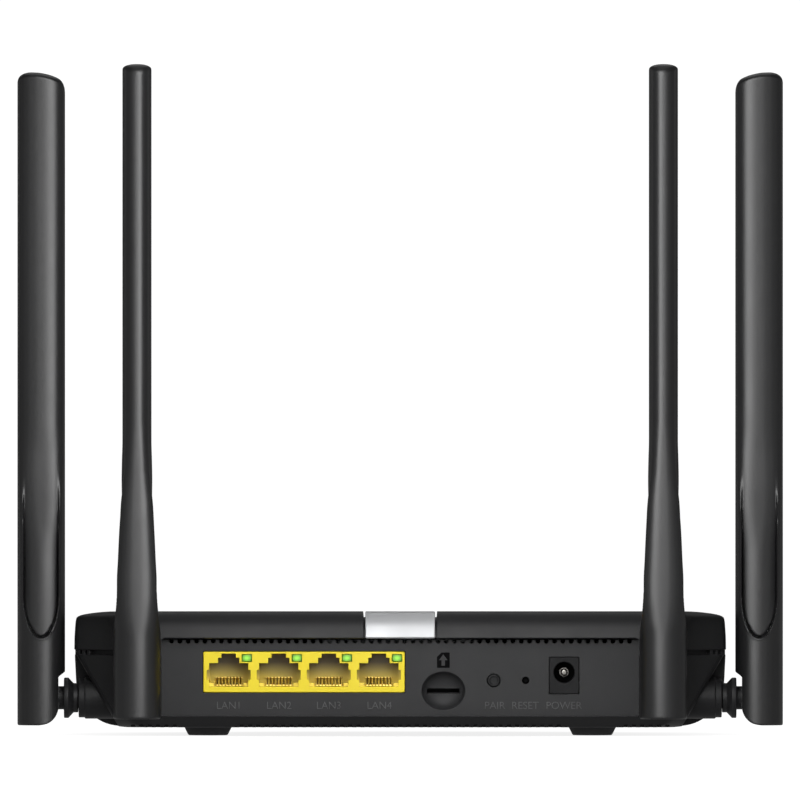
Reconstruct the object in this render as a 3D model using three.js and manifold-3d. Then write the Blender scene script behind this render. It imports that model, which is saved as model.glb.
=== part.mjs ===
// Wireless router with four folding antennas, an assembly of separate parts.
// Units are millimetres, +Z is up. The connector panel faces -Y, the front edge
// faces +Y and +X is to the right when looking at the connector panel.
// The origin is on the surface the rubber feet stand on, under the middle of
// the whole object's bounding box.

import * as THREE from 'three';
import { mergeVertices } from 'three/addons/utils/BufferGeometryUtils.js';
import Module from 'manifold-3d';

const wasm = await Module();
wasm.setup();

// ---------------------------------------------------------------- dimensions
// Housing plan (before the whole assembly is moved to its origin)
const HALF_W = 91;             // housing half width
const REAR_Y = -61;            // rearmost face of the housing
const FRONT_Y = 61;            // frontmost face of the housing
const REAR_FLAT = 80.2;        // half width of the flat rear face
const FRONT_FLAT = 76;         // half width of the flat front face
const REAR_CHAMFER_Y = -52;
const FRONT_CHAMFER_Y = 43;
const CENTRE_SHIFT_Y = 8.55;   // puts the origin under the bounding box centre

// Housing heights
const FLOOR_Z = 2.3;           // underside of the bottom shell
const WALL = 2.0;
const SHELL_TOP_Z = 22.7;      // top rim of the bottom shell
const SKIRT_Z = 23.9;          // lower rim of the top cover
const TOP_Z = 34.9;            // highest line of the top cover, at the rear
const FRONT_DROP = 0.26;       // share of the cover height lost at the front

// Rear panel and its recess
const RECESS_HALF = 66.6;
const RECESS_Z0 = 5.5;
const RECESS_Z1 = 27.1;
const PANEL_Y = -57.2;         // visible face of the rear panel
const PANEL_T = 1.8;
const PANEL_HALF = 68.3;
const PANEL_Z0 = 4.35;
const PANEL_Z1 = 28.4;

// Circuit board
const BOARD_TOP = 11.6;
const BOARD_T = 1.6;
const BOARD_HALF = 62;
const BOARD_Y0 = -54.8;
const BOARD_Y1 = 30;

// LAN port block: four RJ45 sockets side by side
const PORT_PITCH = 13.97;
const PORT_CENTRES = [-47.85, -33.88, -19.91, -5.94];
const BLOCK_X0 = -54.9, BLOCK_X1 = 1.26, BLOCK_Z0 = 12.1, BLOCK_Z1 = 23.44;
const BLOCK_Y0 = -57.4, BLOCK_Y1 = -38.4;
const PORT_DEPTH_Y = -43.6;

// DC inlet
const JACK_X = 45.75, JACK_HALF = 4.15, JACK_Z1 = 21.9, JACK_BORE_Z = 17.66;
const JACK_BORE_R = 3.0, JACK_PIN_R = 1.0;

// SIM slot, pair button and reset hole
const SIM_X = 12.05, SIM_Z = 12.5, SIM_RX = 6.0, SIM_RZ = 5.3, SIM_SLOT_Z = 12.4;
const PAIR_X = 26.1, RESET_X = 35.0, BUTTON_Z = 15.4;
const PAIR_R = 1.7, RESET_HOLE_R = 1.0;

// Antenna, in its own frame: u towards the housing, v along the hinge pin, w up
const ANT_U0 = -4.8, ANT_U1 = 8.5;
const ANT_W0 = -7.67, ANT_W1 = 174.7;
const ANT_BASE_T = 6.6;        // half thickness at the base
const ANT_TIP_T = 4.05;        // half thickness of the blade
const ANT_CHEEK = 3.4;         // half width of the slot between the cheeks
const PIN_R = 1.1, PIN_HOLE_R = 1.4;
const POST_FLANGE_R = 5.65, POST_NECK_R = 4.1, POST_SHAFT_R = 3.0;
const SEAT = 12.3;             // hinge pin to the face the post turns on

// Swivel axes
const SIDE_SEAT_X = 89.8, SIDE_Y = -49, SIDE_Z = 10.5;
const REAR_ANT_X = 73.3, REAR_ANT_Z = 12.5;

// Top trim strip
const STRIP_HALF = 9.73, SLOT_HALF = 10.3, STRIP_T = 1.6;

// ------------------------------------------------------------------- helpers
function toSolid(geometry, matrix) {
  let g = geometry.index ? geometry.toNonIndexed() : geometry.clone();
  if (matrix) g.applyMatrix4(matrix);
  for (const name of Object.keys(g.attributes)) if (name !== 'position') g.deleteAttribute(name);
  g = mergeVertices(g, 1e-4);
  const props = new Float32Array(g.attributes.position.array);
  const tris = new Uint32Array(g.index.array);
  let volume = 0;
  for (let i = 0; i < tris.length; i += 3) {
    const [a, b, c] = [tris[i] * 3, tris[i + 1] * 3, tris[i + 2] * 3];
    volume += props[a] * (props[b + 1] * props[c + 2] - props[b + 2] * props[c + 1])
      - props[a + 1] * (props[b] * props[c + 2] - props[b + 2] * props[c])
      + props[a + 2] * (props[b] * props[c + 1] - props[b + 1] * props[c]);
  }
  if (volume < 0) for (let i = 0; i < tris.length; i += 3) {
    const t = tris[i + 1]; tris[i + 1] = tris[i + 2]; tris[i + 2] = t;
  }
  return new wasm.Manifold(new wasm.Mesh({ numProp: 3, vertProperties: props, triVerts: tris }));
}

function toGeometry(solid) {
  const m = solid.getMesh();
  const g = new THREE.BufferGeometry();
  g.setAttribute('position', new THREE.BufferAttribute(new Float32Array(m.vertProperties), 3));
  g.setIndex(new THREE.BufferAttribute(new Uint32Array(m.triVerts), 1));
  const flat = g.toNonIndexed();
  flat.computeVertexNormals();
  return flat;
}

const move = (x, y, z) => new THREE.Matrix4().makeTranslation(x, y, z);

function box(x0, x1, y0, y1, z0, z1) {
  return toSolid(new THREE.BoxGeometry(x1 - x0, y1 - y0, z1 - z0),
    move((x0 + x1) / 2, (y0 + y1) / 2, (z0 + z1) / 2));
}

// Solid of revolution about Z from [radius, z] pairs
function turned(profile, segments = 16, phase = 0) {
  const pts = profile.map(([r, z]) => new THREE.Vector2(r, z));
  const g = new THREE.LatheGeometry(pts, segments, phase);
  g.rotateX(Math.PI / 2);
  return g;
}

const ALONG_X = new THREE.Matrix4().makeRotationY(Math.PI / 2);    // +Z becomes +X
const ALONG_Y = new THREE.Matrix4().makeRotationX(-Math.PI / 2);   // +Z becomes +Y

// Cylinder about an axis through (x, y, z), from s0 to s1 along that axis
function cylX(r, x0, x1, y, z, n = 16) {
  const g = turned([[0, x0], [r, x0], [r, x1], [0, x1]], n);
  return toSolid(g, move(0, y, z).multiply(ALONG_X));
}
function cylY(r, y0, y1, x, z, n = 16) {
  const g = turned([[0, y0], [r, y0], [r, y1], [0, y1]], n);
  return toSolid(g, move(x, 0, z).multiply(ALONG_Y));
}
function cylZ(r, z0, z1, x, y, n = 16) {
  return toSolid(turned([[0, z0], [r, z0], [r, z1], [0, z1]], n), move(x, y, 0));
}

// Prism with its outline in the XZ plane, between two Y values
function prismXZ(points, y0, y1) {
  const shape = new THREE.Shape(points.map(([x, z]) => new THREE.Vector2(x, z)));
  const g = new THREE.ExtrudeGeometry(shape, { depth: y1 - y0, bevelEnabled: false });
  g.rotateX(Math.PI / 2);            // (x, y, depth) -> (x, -depth, y)
  g.translate(0, y1, 0);
  return toSolid(g);
}

// Prism with its outline in the YZ plane, between two X values
function prismYZ(points, x0, x1) {
  const shape = new THREE.Shape(points.map(([y, z]) => new THREE.Vector2(y, z)));
  const g = new THREE.ExtrudeGeometry(shape, { depth: x1 - x0, bevelEnabled: false });
  const m = new THREE.Matrix4().set(0, 0, 1, x0, 1, 0, 0, 0, 0, 1, 0, 0, 0, 0, 0, 1);
  return toSolid(g, m);
}

// Closed skin through rings of points that run counter-clockwise seen from +Z
function loft(rings) {
  const n = rings[0].length;
  const flat = [];
  const tri = (a, b, c) => flat.push(...a, ...b, ...c);
  for (let k = 0; k + 1 < rings.length; k++) {
    for (let i = 0; i < n; i++) {
      const j = (i + 1) % n;
      tri(rings[k][i], rings[k][j], rings[k + 1][j]);
      tri(rings[k][i], rings[k + 1][j], rings[k + 1][i]);
    }
  }
  const cap = (ring, up) => {
    const faces = THREE.ShapeUtils.triangulateShape(ring.map((p) => new THREE.Vector2(p[0], p[1])), []);
    for (const [a, b, c] of faces) up ? tri(ring[a], ring[b], ring[c]) : tri(ring[a], ring[c], ring[b]);
  };
  cap(rings[0], false);
  cap(rings[rings.length - 1], true);
  const g = new THREE.BufferGeometry();
  g.setAttribute('position', new THREE.BufferAttribute(new Float32Array(flat), 3));
  return g;
}

// Convex polygon with each edge moved inwards by its own distance, then rounded
function insetOutline(corners, insets, radius, steps) {
  const n = corners.length;
  const lines = corners.map((p, i) => {
    const q = corners[(i + 1) % n];
    const d = new THREE.Vector2(q[0] - p[0], q[1] - p[1]).normalize();
    const normal = new THREE.Vector2(-d.y, d.x);
    return { p: new THREE.Vector2(p[0], p[1]).addScaledVector(normal, insets[i]), d };
  });
  const moved = corners.map((_, i) => {
    const a = lines[(i + n - 1) % n], b = lines[i];
    const cross = a.d.x * b.d.y - a.d.y * b.d.x;
    const t = ((b.p.x - a.p.x) * b.d.y - (b.p.y - a.p.y) * b.d.x) / cross;
    return a.p.clone().addScaledVector(a.d, t);
  });
  const out = [];
  moved.forEach((corner, i) => {
    const before = lines[(i + n - 1) % n].d, after = lines[i].d;
    const turn = Math.acos(THREE.MathUtils.clamp(before.dot(after), -1, 1));
    const back = radius * Math.tan(turn / 2);
    const start = corner.clone().addScaledVector(before, -back);
    const centre = start.clone().add(new THREE.Vector2(-before.y, before.x).multiplyScalar(radius));
    for (let k = 0; k <= steps; k++) {
      const a = (turn * k) / steps;
      const v = start.clone().sub(centre).rotateAround(new THREE.Vector2(), a).add(centre);
      out.push([v.x, v.y]);
    }
  });
  return out;
}

const PLAN = [
  [-REAR_FLAT, REAR_Y], [REAR_FLAT, REAR_Y], [HALF_W, REAR_CHAMFER_Y], [HALF_W, FRONT_CHAMFER_Y],
  [FRONT_FLAT, FRONT_Y], [-FRONT_FLAT, FRONT_Y], [-HALF_W, FRONT_CHAMFER_Y], [-HALF_W, REAR_CHAMFER_Y],
];

// One level of the housing: rear, side and front edges move in separately
function level(z, rear, side, front, radius = 3.2) {
  const mixR = (rear + side) / 2, mixF = (front + side) / 2;
  const r = Math.max(0.6, radius);
  return insetOutline(PLAN, [rear, mixR, side, mixF, front, mixF, side, mixR], r, 2)
    .map(([x, y]) => [x, y, z]);
}

// The cover loses height towards the front
function coverZ(z, y) {
  if (z <= SKIRT_Z) return z;
  const t = THREE.MathUtils.clamp((y - REAR_Y) / (FRONT_Y - REAR_Y), 0, 1);
  return SKIRT_Z + (z - SKIRT_Z) * (1 - FRONT_DROP * t);
}

const COVER_LEVELS = [
  // z, rear inset, side inset, front inset
  [23.9, 0, 0, 0], [27.1, 0.1, 0.05, 0.1], [30, 0.8, 0.2, 0.4], [32, 1.8, 0.35, 0.9],
  [33.1, 2.8, 0.6, 1.6], [33.8, 3.7, 1.7, 2.6], [34.4, 4.9, 4.6, 4.4], [34.75, 6.5, 7.6, 6.8],
  [TOP_Z, 9, 9.5, 9.5],
];

// The cover's outer form, shrunk by d
function coverForm(d, zBottom = SKIRT_Z) {
  const rings = COVER_LEVELS.map(([z, r, s, f]) => {
    const zz = z === SKIRT_Z ? zBottom : z - (z > 30 ? d : d * (z - SKIRT_Z) / 6.1);
    return level(zz, r + d, s + d, f + d).map(([x, y, h]) => [x, y, coverZ(h, y)]);
  });
  return toSolid(loft(rings));
}

const CLEAR = 0.05;
const group = new THREE.Group();
const body = new THREE.Group();
body.position.y = CENTRE_SHIFT_Y;
group.add(body);

function material(color, roughness, metalness = 0) {
  return new THREE.MeshStandardMaterial({ color, roughness, metalness });
}
const blackPlastic = () => material(0x1c1d1f, 0.42);
const panelPlastic = () => material(0x242527, 0.5);
const antennaPlastic = () => material(0x18191b, 0.34);
const steel = () => material(0xb9bcc0, 0.32, 0.9);
const gold = () => material(0xd9a83c, 0.28, 0.95);

function add(parent, name, solid, mat) {
  const mesh = new THREE.Mesh(solid.isBufferGeometry ? solid : toGeometry(solid), mat);
  mesh.name = name;
  parent.add(mesh);
  return mesh;
}

// -------------------------------------------------------------- bottom shell
// The rear corners are cut away under a sloping edge, and a round boss for the
// side antenna comes out of each cut.
const DIAG = (22.2 - 4.9) / (90.2 - 80.0);
const diagX = (z) => -90.2 + (22.2 - z) / DIAG;
const mirrorX = new THREE.Matrix4().makeScale(-1, 1, 1);
function mirrored(solid) { return toSolid(toGeometry(solid), mirrorX); }

function cornerPrism(shift, y1) {
  return prismXZ([[diagX(24) + shift, 24], [-97, 24], [-97, 0], [diagX(0) + shift, 0]], -64, y1);
}

function makeBottomShell() {
  let shell = toSolid(loft([
    level(FLOOR_Z, 3.5, 14.3, 9), level(2.8, 3.0, 10.5, 6.5), level(3.6, 2.1, 8.0, 4.6),
    level(RECESS_Z0, 0, 5.0, 2.6), level(8, 0, 2.4, 1.2), level(11, 0, 0.8, 0.4), level(SHELL_TOP_Z, 0, 0, 0),
  ]));
  const corner = cornerPrism(0, -41.5);
  shell = shell.subtract(corner).subtract(mirrored(corner));

  let cavity = toSolid(loft([
    level(4.3, 3.75, 14.5, 10), level(RECESS_Z0, 3.75, 8.5, 5.5), level(8, 3.75, 4.6, 3.4),
    level(11, 3.75, 2.9, 2.4), level(SHELL_TOP_Z + 3.5, 3.75, 2.8, 2.8),
  ]));
  const keep = cornerPrism(2.32, -39.5);
  cavity = cavity.subtract(keep).subtract(mirrored(keep));
  shell = shell.subtract(cavity);

  // locating lip inside the cover's skirt
  let lip = toSolid(loft([level(SHELL_TOP_Z - 0.4, 1.6, 1.6, 1.6), level(25.5, 1.6, 1.6, 1.6)]))
    .subtract(toSolid(loft([level(SHELL_TOP_Z - 1.5, 2.8, 2.8, 2.8), level(26.5, 2.8, 2.8, 2.8)])))
    .subtract(box(-68.7, 68.7, -62, -50, 20, 30)).subtract(box(-22.6, 22.6, 50, 62, 24.3, 30));
  shell = shell.add(lip);

  // recess for the rear panel, open above
  shell = shell.subtract(box(-RECESS_HALF, RECESS_HALF, -63, PANEL_Y + 0.5, RECESS_Z0, 40));

  // bearing bosses for the antenna posts
  for (const s of [-1, 1]) {
    const x0 = Math.min(s * 80.2, s * 87.9), x1 = Math.max(s * 80.2, s * 87.9);
    const r0 = Math.min(s * 87, s * SIDE_SEAT_X), r1 = Math.max(s * 87, s * SIDE_SEAT_X);
    const h0 = Math.min(s * 74, s * 95), h1 = Math.max(s * 74, s * 95);
    shell = shell.add(cylX(5.85, x0, x1, SIDE_Y, SIDE_Z, 14)).add(cylX(5.5, r0, r1, SIDE_Y, SIDE_Z, 14));
    shell = shell.add(cylY(4.6, PANEL_Y - 0.5, REAR_Y + 9.6, s * REAR_ANT_X, REAR_ANT_Z, 10));
    shell = shell.subtract(cylX(3.3, h0, h1, SIDE_Y, SIDE_Z, 12));
    shell = shell.subtract(cylX(4.3, Math.min(s * 74, s * 80.2), Math.max(s * 74, s * 80.2), SIDE_Y, SIDE_Z, 12));
    shell = shell.subtract(cylY(3.3, -64, -45, s * REAR_ANT_X, REAR_ANT_Z, 12));
  }

  // screw pillars, board pillars with locating pegs, and recesses for the feet
  for (const [x, y] of SCREWS) {
    shell = shell.add(cylZ(4.0, 4.0, 21.0, x, y, 8))
      .subtract(cylZ(3.2, 0, 6.5, x, y, 8)).subtract(cylZ(1.75, 0, 30, x, y, 6));
  }
  for (const [x, y] of PEGS) {
    shell = shell.add(cylZ(2.6, 4.0, BOARD_TOP - BOARD_T - CLEAR, x, y, 6)).add(cylZ(1.2, 4.0, 12.6, x, y, 6));
  }
  for (const [x, y] of FEET) shell = shell.subtract(cylZ(7.0, 0, 2.95, x, y, 14));
  return shell;
}
const SCREWS = [[-70, -32], [70, -32], [-70, 36], [70, 36]];
const PEGS = [[-57, -22], [57, -22], [-57, 24], [57, 24]];
const FEET = [[-53.7, -44], [53.7, -44], [-53.7, 42], [53.7, 42]];
add(body, 'bottom_shell', makeBottomShell(), blackPlastic());

// ----------------------------------------------------------------- top cover
function makeTopCover() {
  let cover = coverForm(0);
  const lower = toSolid(loft([level(20, 1.3, 1.3, 1.3), level(27.2, 1.3, 1.3, 1.3)]));
  let upper = toSolid(loft([
    level(27.0, 3.75, 2.0, 2.0), level(31.0, 3.75, 2.2, 2.6).map(([x, y, z]) => [x, y, coverZ(z, y)]),
    level(32.9, 4.9, 2.8, 3.6).map(([x, y, z]) => [x, y, coverZ(z, y)]),
  ]));
  // thicker roof under the trim strip's channel
  const rib = toSolid(loft([level(29.6, 0, 0, 0), level(36, 0, 0, 0)].map((ring) =>
    ring.map(([x, y, z]) => [x, y, coverZ(z < 30 ? 31.0 : z, y)])))).intersect(box(-12.5, 12.5, -70, 70, 20, 40))
    .add(box(-12.5, 12.5, -60, -54.3, 28.8, 33));
  upper = upper.subtract(rib);
  cover = cover.subtract(lower).subtract(upper);
  // panel window under the rear lip, closed at both ends
  cover = cover.subtract(box(-RECESS_HALF, RECESS_HALF, -63, PANEL_Y + 1.0, 20, RECESS_Z1));
  for (const s of [-1, 1]) {
    cover = cover.add(box(Math.min(s * 66.6, s * 67.9), Math.max(s * 66.6, s * 67.9), -60.85, PANEL_Y - CLEAR, SKIRT_Z, 27.6));
  }
  // channel for the trim strip
  const channel = coverForm(-1).subtract(coverForm(STRIP_T + CLEAR, 20))
    .intersect(box(-SLOT_HALF, SLOT_HALF, -70, 70, 26, 40))
    .subtract(box(-20, 20, 30, 70, 20, 29.2));
  cover = cover.subtract(channel);
  // bosses that take the four housing screws
  for (const [x, y] of SCREWS) {
    cover = cover.add(cylZ(3.5, 21.1, coverZ(34.0, y), x, y, 8)).subtract(cylZ(1.75, 20, 28.2, x, y, 6));
  }
  // window for the indicator light guide in the front skirt
  cover = cover.subtract(box(-20, 20, 50, 64, 25.2, 27.0));
  return cover;
}
add(body, 'top_cover', makeTopCover(), blackPlastic());

const strip = coverForm(0.02).subtract(coverForm(STRIP_T, 20))
  .intersect(box(-STRIP_HALF, STRIP_HALF, -70, 70, RECESS_Z1 + 0.1, 40))
  .subtract(box(-20, 20, 30, 70, 20, 29.5));
add(body, 'top_trim_strip', strip, material(0xd9dadb, 0.35, 0.1));

// The light guide: a bar behind the skirt with its face in the window
add(body, 'indicator_light_guide',
  box(-19.7, 19.7, 56.5, 60.7, 25.5, 26.7).add(box(-22, 22, 56.5, 58.5, 24.9, 26.9)), material(0xdfe4e6, 0.15));

// ---------------------------------------------------------------- rear panel
function makeRearPanel() {
  const y1 = PANEL_Y + PANEL_T;
  let p = box(-PANEL_HALF, PANEL_HALF, PANEL_Y, y1, PANEL_Z0, PANEL_Z1);
  // finger dish around the SIM slot, formed as a cup behind the panel
  const dish = (rx, rz, y0, ya, taper) => {
    const ring = (k, y) => {
      const out = [];
      for (let i = 0; i < 20; i++) {
        const a = (i / 20) * Math.PI * 2;
        out.push([Math.cos(a) * rx * k, Math.sin(a) * rz * k, y]);
      }
      return out;
    };
    const m = new THREE.Matrix4().set(1, 0, 0, SIM_X, 0, 0, 1, 0, 0, 1, 0, SIM_Z, 0, 0, 0, 1);
    return toSolid(loft([ring(1, y0), ring(taper, ya)]), m);
  };
  p = p.add(dish(SIM_RX + 0.9, SIM_RZ + 0.9, PANEL_Y + 0.5, PANEL_Y + 3.9, 0.96));
  p = p.subtract(dish(SIM_RX, SIM_RZ, PANEL_Y - 0.001, PANEL_Y + 3.0, 0.9));
  p = p.subtract(box(SIM_X - 4.5, SIM_X + 4.5, PANEL_Y - 1, PANEL_Y + 6, SIM_SLOT_Z - 0.72, SIM_SLOT_Z + 0.72));
  // windows for the port block and the DC inlet, holes for the buttons
  p = p.subtract(box(BLOCK_X0 - 0.15, BLOCK_X1 + 0.15, -62, -50, BLOCK_Z0 - 0.15, BLOCK_Z1 + 0.15));
  p = p.subtract(box(JACK_X - JACK_HALF - 0.15, JACK_X + JACK_HALF + 0.15, -62, -50, 11.45, JACK_Z1 + 0.15));
  p = p.subtract(cylY(PAIR_R + 0.3, -62, -50, PAIR_X, BUTTON_Z, 12));
  p = p.subtract(cylY(RESET_HOLE_R, -62, -50, RESET_X, BUTTON_Z, 12));
  return p;
}
add(body, 'rear_panel', makeRearPanel(), panelPlastic());

// ------------------------------------------------------------- circuit board
function makeBoard() {
  let b = box(-BOARD_HALF, BOARD_HALF, BOARD_Y0, BOARD_Y1, BOARD_TOP - BOARD_T, BOARD_TOP);
  b = b.subtract(box(SIM_X - 7.6, SIM_X + 7.6, -60, -52.9, 5, 15));
  for (const [x, y] of PEGS) b = b.subtract(cylZ(1.6, 5, 15, x, y, 8));
  return b;
}
const ON_BOARD = BOARD_TOP + CLEAR;
add(body, 'main_circuit_board', makeBoard(), material(0x1d4a2c, 0.45));

// ------------------------------------------------------------ LAN port block
function makePortBlock() {
  let b = box(BLOCK_X0, BLOCK_X1, BLOCK_Y0, BLOCK_Y1, BLOCK_Z0, BLOCK_Z1)
    .add(box(BLOCK_X0, BLOCK_X1, -54.6, BLOCK_Y1, ON_BOARD, BLOCK_Z0 + 1));
  for (const x of PORT_CENTRES) {
    b = b.subtract(prismXZ([
      [x - 5.45, 13.71], [x + 5.45, 13.71], [x + 5.45, 20.22], [x + 2.965, 20.22], [x + 2.965, 21.72],
      [x + 2.0, 21.72], [x + 2.0, 22.89], [x - 2.0, 22.89], [x - 2.0, 21.72], [x - 2.965, 21.72],
      [x - 2.965, 20.22], [x - 5.45, 20.22]], -60, PORT_DEPTH_Y));
    b = b.subtract(box(x - 6.1, x + 6.1, -60, -54.6, 15.57, 18.35));
    b = b.subtract(box(x + 3.61, x + 6.51, -60, -51.0, 20.56, 22.76));
  }
  return b;
}
add(body, 'lan_port_block', makePortBlock(), material(0xf3d83f, 0.38));

// Eight sprung contacts on a carrier at the back of each socket
function makeContacts(x) {
  let c = box(x - 4.1, x + 4.1, -45.6, -44.6, 13.8, 16.6);
  for (let i = 0; i < 8; i++) {
    const cx = x + (i - 3.5) * 0.92;
    c = c.add(prismYZ([[-55.2, 13.78], [-45.2, 15.65], [-45.2, 16.2], [-45.9, 16.2], [-55.2, 14.2]], cx - 0.22, cx + 0.22));
  }
  return c;
}
PORT_CENTRES.forEach((x, i) => {
  add(body, `lan_port_${i + 1}_contacts`, makeContacts(x), gold());
  add(body, `lan_port_${i + 1}_led_lens`, box(x + 3.66, x + 6.46, -57.3, -51.1, 20.61, 22.71), material(0xb2ed50, 0.25));
});

// ------------------------------------------------------------------ DC inlet
const jack = box(JACK_X - JACK_HALF, JACK_X + JACK_HALF, -57.4, -44, ON_BOARD, JACK_Z1)
  .subtract(cylY(JACK_BORE_R, -60, -47, JACK_X, JACK_BORE_Z, 20))
  .subtract(cylY(JACK_PIN_R + 0.3, -60, -40, JACK_X, JACK_BORE_Z, 12));
add(body, 'dc_inlet', jack, material(0x131415, 0.4));
add(body, 'dc_inlet_pin', cylY(JACK_PIN_R, -55.6, -43.2, JACK_X, JACK_BORE_Z, 12)
  .add(cylY(1.8, -43.7, -43.2, JACK_X, JACK_BORE_Z, 12)), steel());

// ---------------------------------------------------------------- SIM reader
const simShell = box(SIM_X - 7.2, SIM_X + 6.2, -52.6, -37.4, ON_BOARD, 14.1)
  .subtract(box(SIM_X - 4.6, SIM_X + 4.6, -54, -38.2, 11.95, 13.15))
  .subtract(box(SIM_X - 6.6, SIM_X - 4.5, -51.6, -38.2, 11.95, 13.15));
add(body, 'sim_reader', simShell, steel());
const simSlider = box(SIM_X - 6.3, SIM_X - 4.9, -49.5, -39.8, 12.2, 12.9)
  .add(box(SIM_X - 5.2, SIM_X - 2.4, -40.9, -39.8, 12.2, 12.9));
add(body, 'sim_reader_slider', simSlider, material(0x2a2b2d, 0.5));

// ---------------------------------------------------------- buttons, switches
function button(r, front) {
  return toSolid(turned([[0, front], [r - 0.35, front], [r, front + 0.35], [r, -55.25], [r + 0.75, -55.25],
    [r + 0.75, -54.5], [1.0, -54.5], [1.0, -53.0], [0, -53.0]], 12), ALONG_Y);
}
const place = (solid, x, z) => toSolid(toGeometry(solid), move(x, 0, z));
add(body, 'pair_button', place(button(PAIR_R, -57.75), PAIR_X, BUTTON_Z), material(0x202123, 0.4));
const resetPlunger = toSolid(turned([[0, -56.3], [0.7, -56.3], [0.7, -55.25], [1.6, -55.25], [1.6, -54.5],
  [0.9, -54.5], [0.9, -53.0], [0, -53.0]], 12), ALONG_Y);
add(body, 'reset_plunger', place(resetPlunger, RESET_X, BUTTON_Z), material(0x3a3b3d, 0.5));
function tactSwitch(x) {
  return box(x - 3, x + 3, -51.5, -48.2, ON_BOARD, 18.2).add(cylY(1.1, -52.2, -51, x, BUTTON_Z, 10));
}
add(body, 'pair_switch', tactSwitch(PAIR_X), material(0x2b2c2e, 0.5));
add(body, 'reset_switch', tactSwitch(RESET_X), material(0x2b2c2e, 0.5));

// --------------------------------------------------------- parts on the board
add(body, 'lan_transformer', box(-50, -8, -34, -25, ON_BOARD, 17.2), material(0x17181a, 0.45));
add(body, 'modem_module', box(4, 34, -32, 18, ON_BOARD + 1.6, 14.4)
  .add(box(6, 32, 14.5, 19.5, ON_BOARD, 14.0)).add(box(8, 30, -31.5, -30, ON_BOARD, 13.6)), material(0x24402f, 0.45));
add(body, 'wifi_shield_left', box(-52, -28, -16, 8, ON_BOARD, 14.4), steel());
add(body, 'wifi_shield_right', box(38, 54, -12, 12, ON_BOARD, 14.4), steel());
let sink = box(-23, -1, -16, 8, ON_BOARD, 14.0);
for (let i = 0; i < 6; i++) sink = sink.add(box(-23 + i * 4.16, -21.8 + i * 4.16, -16, 8, 13.5, 22.5));
add(body, 'processor_heatsink', sink, material(0xa8abae, 0.4, 0.85));
add(body, 'power_capacitor_1', cylZ(4, ON_BOARD, 23, 45, -34, 14), material(0x24262a, 0.35));
add(body, 'power_capacitor_2', cylZ(4, ON_BOARD, 23, 55, -36, 14), material(0x24262a, 0.35));

// -------------------------------------------------------- screws and the feet
SCREWS.forEach(([x, y], i) => {
  const g = turned([[0, 5.3], [0.9, 5.3], [1.2, 4.6], [2.3, 4.6], [2.7, 5.0], [2.7, 6.4], [1.4, 6.4], [1.4, 26.5], [0.4, 27.6], [0, 27.6]], 10);
  const s = toSolid(g, move(x, y, 0));
  add(body, `housing_screw_${i + 1}`, s, steel());
});
FEET.forEach(([x, y], i) => {
  const g = turned([[0, 0], [5.3, 0], [5.6, 0.25], [6.65, 2.3], [6.65, 2.9], [0, 2.9]], 14);
  add(body, `rubber_foot_${i + 1}`, toSolid(g, move(x, y, 0)), material(0x0f1011, 0.85));
});

// ------------------------------------------------------------------ antennas
// Oval section: wide in u, thick in v
function ovalRing(w, t) {
  const out = [];
  const cu = (ANT_U0 + ANT_U1) / 2, a = (ANT_U1 - ANT_U0) / 2;
  for (let i = 0; i < 14; i++) {
    const q = (i / 14) * Math.PI * 2, e = 2 / 2.5;
    const c = Math.cos(q), s = Math.sin(q);
    out.push([cu + a * Math.sign(c) * Math.abs(c) ** e, t * Math.sign(s) * Math.abs(s) ** e, w]);
  }
  return out;
}

function makeAntenna() {
  const T = ANT_BASE_T;
  let a = toSolid(loft([[-9, T], [15.5, T], [22.3, 5.85], [31, 5.5], [47.7, 4.75], [58.9, 4.33], [70, ANT_TIP_T], [178, ANT_TIP_T]]
    .map(([w, t]) => ovalRing(w, t))));
  // outline seen along the pin: rounded inner corner below, notch over the
  // post's flange, and a tip that slopes down towards the housing side
  a = a.intersect(prismXZ([
    [ANT_U0, ANT_W0], [1.6, ANT_W0], [3.5, -7.25], [5.0, -6.2], [6.1, -4.7], [6.6, -2.9], [6.6, 5.7], [ANT_U1, 7.25],
    [ANT_U1, 169], [8.3, 170.2], [7.75, 171.9], [6.6, 173.0], [3.6, 174.1], [0.8, 174.65], [-1.2, ANT_W1],
    [-3.4, 174.1], [-4.4, 173.1], [ANT_U0, 172.0]], -10, 10));
  // crowned end across the thickness
  a = a.intersect(prismYZ([[-8, -9], [8, -9], [8, 160], [4.05, 173.3], [2.4, 174.2], [0, ANT_W1 + 0.05], [-2.4, 174.2], [-4.05, 173.3], [-8, 160]], -20, 20));
  // U-shaped step where the thin blade meets the thick base, on both faces
  const cu = 1.87;
  const half = [[0, 16.5], [1.8, 17.1], [3.5, 19.6], [4.6, 24.5], [4.9, 62]];
  const outline = [...half.map(([u, w]) => [cu + u, w]), ...half.slice(1).reverse().map(([u, w]) => [cu - u, w])];
  a = a.subtract(prismXZ(outline, ANT_TIP_T + 0.02, 10)).subtract(prismXZ(outline, -10, -ANT_TIP_T - 0.02));
  // slot for the post's tongue, open towards the housing and downwards
  a = a.subtract(box(-3.75, 20, -ANT_CHEEK, ANT_CHEEK, -20, 3.95));
  // channel for the radiator and its cable
  a = a.subtract(box(-1.6, 5.3, -1.5, 1.5, 3, 166));
  // blind holes for the hinge pin
  a = a.subtract(cylY(PIN_HOLE_R, -5.4, 5.4, 0, 0, 8));
  return a;
}

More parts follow.
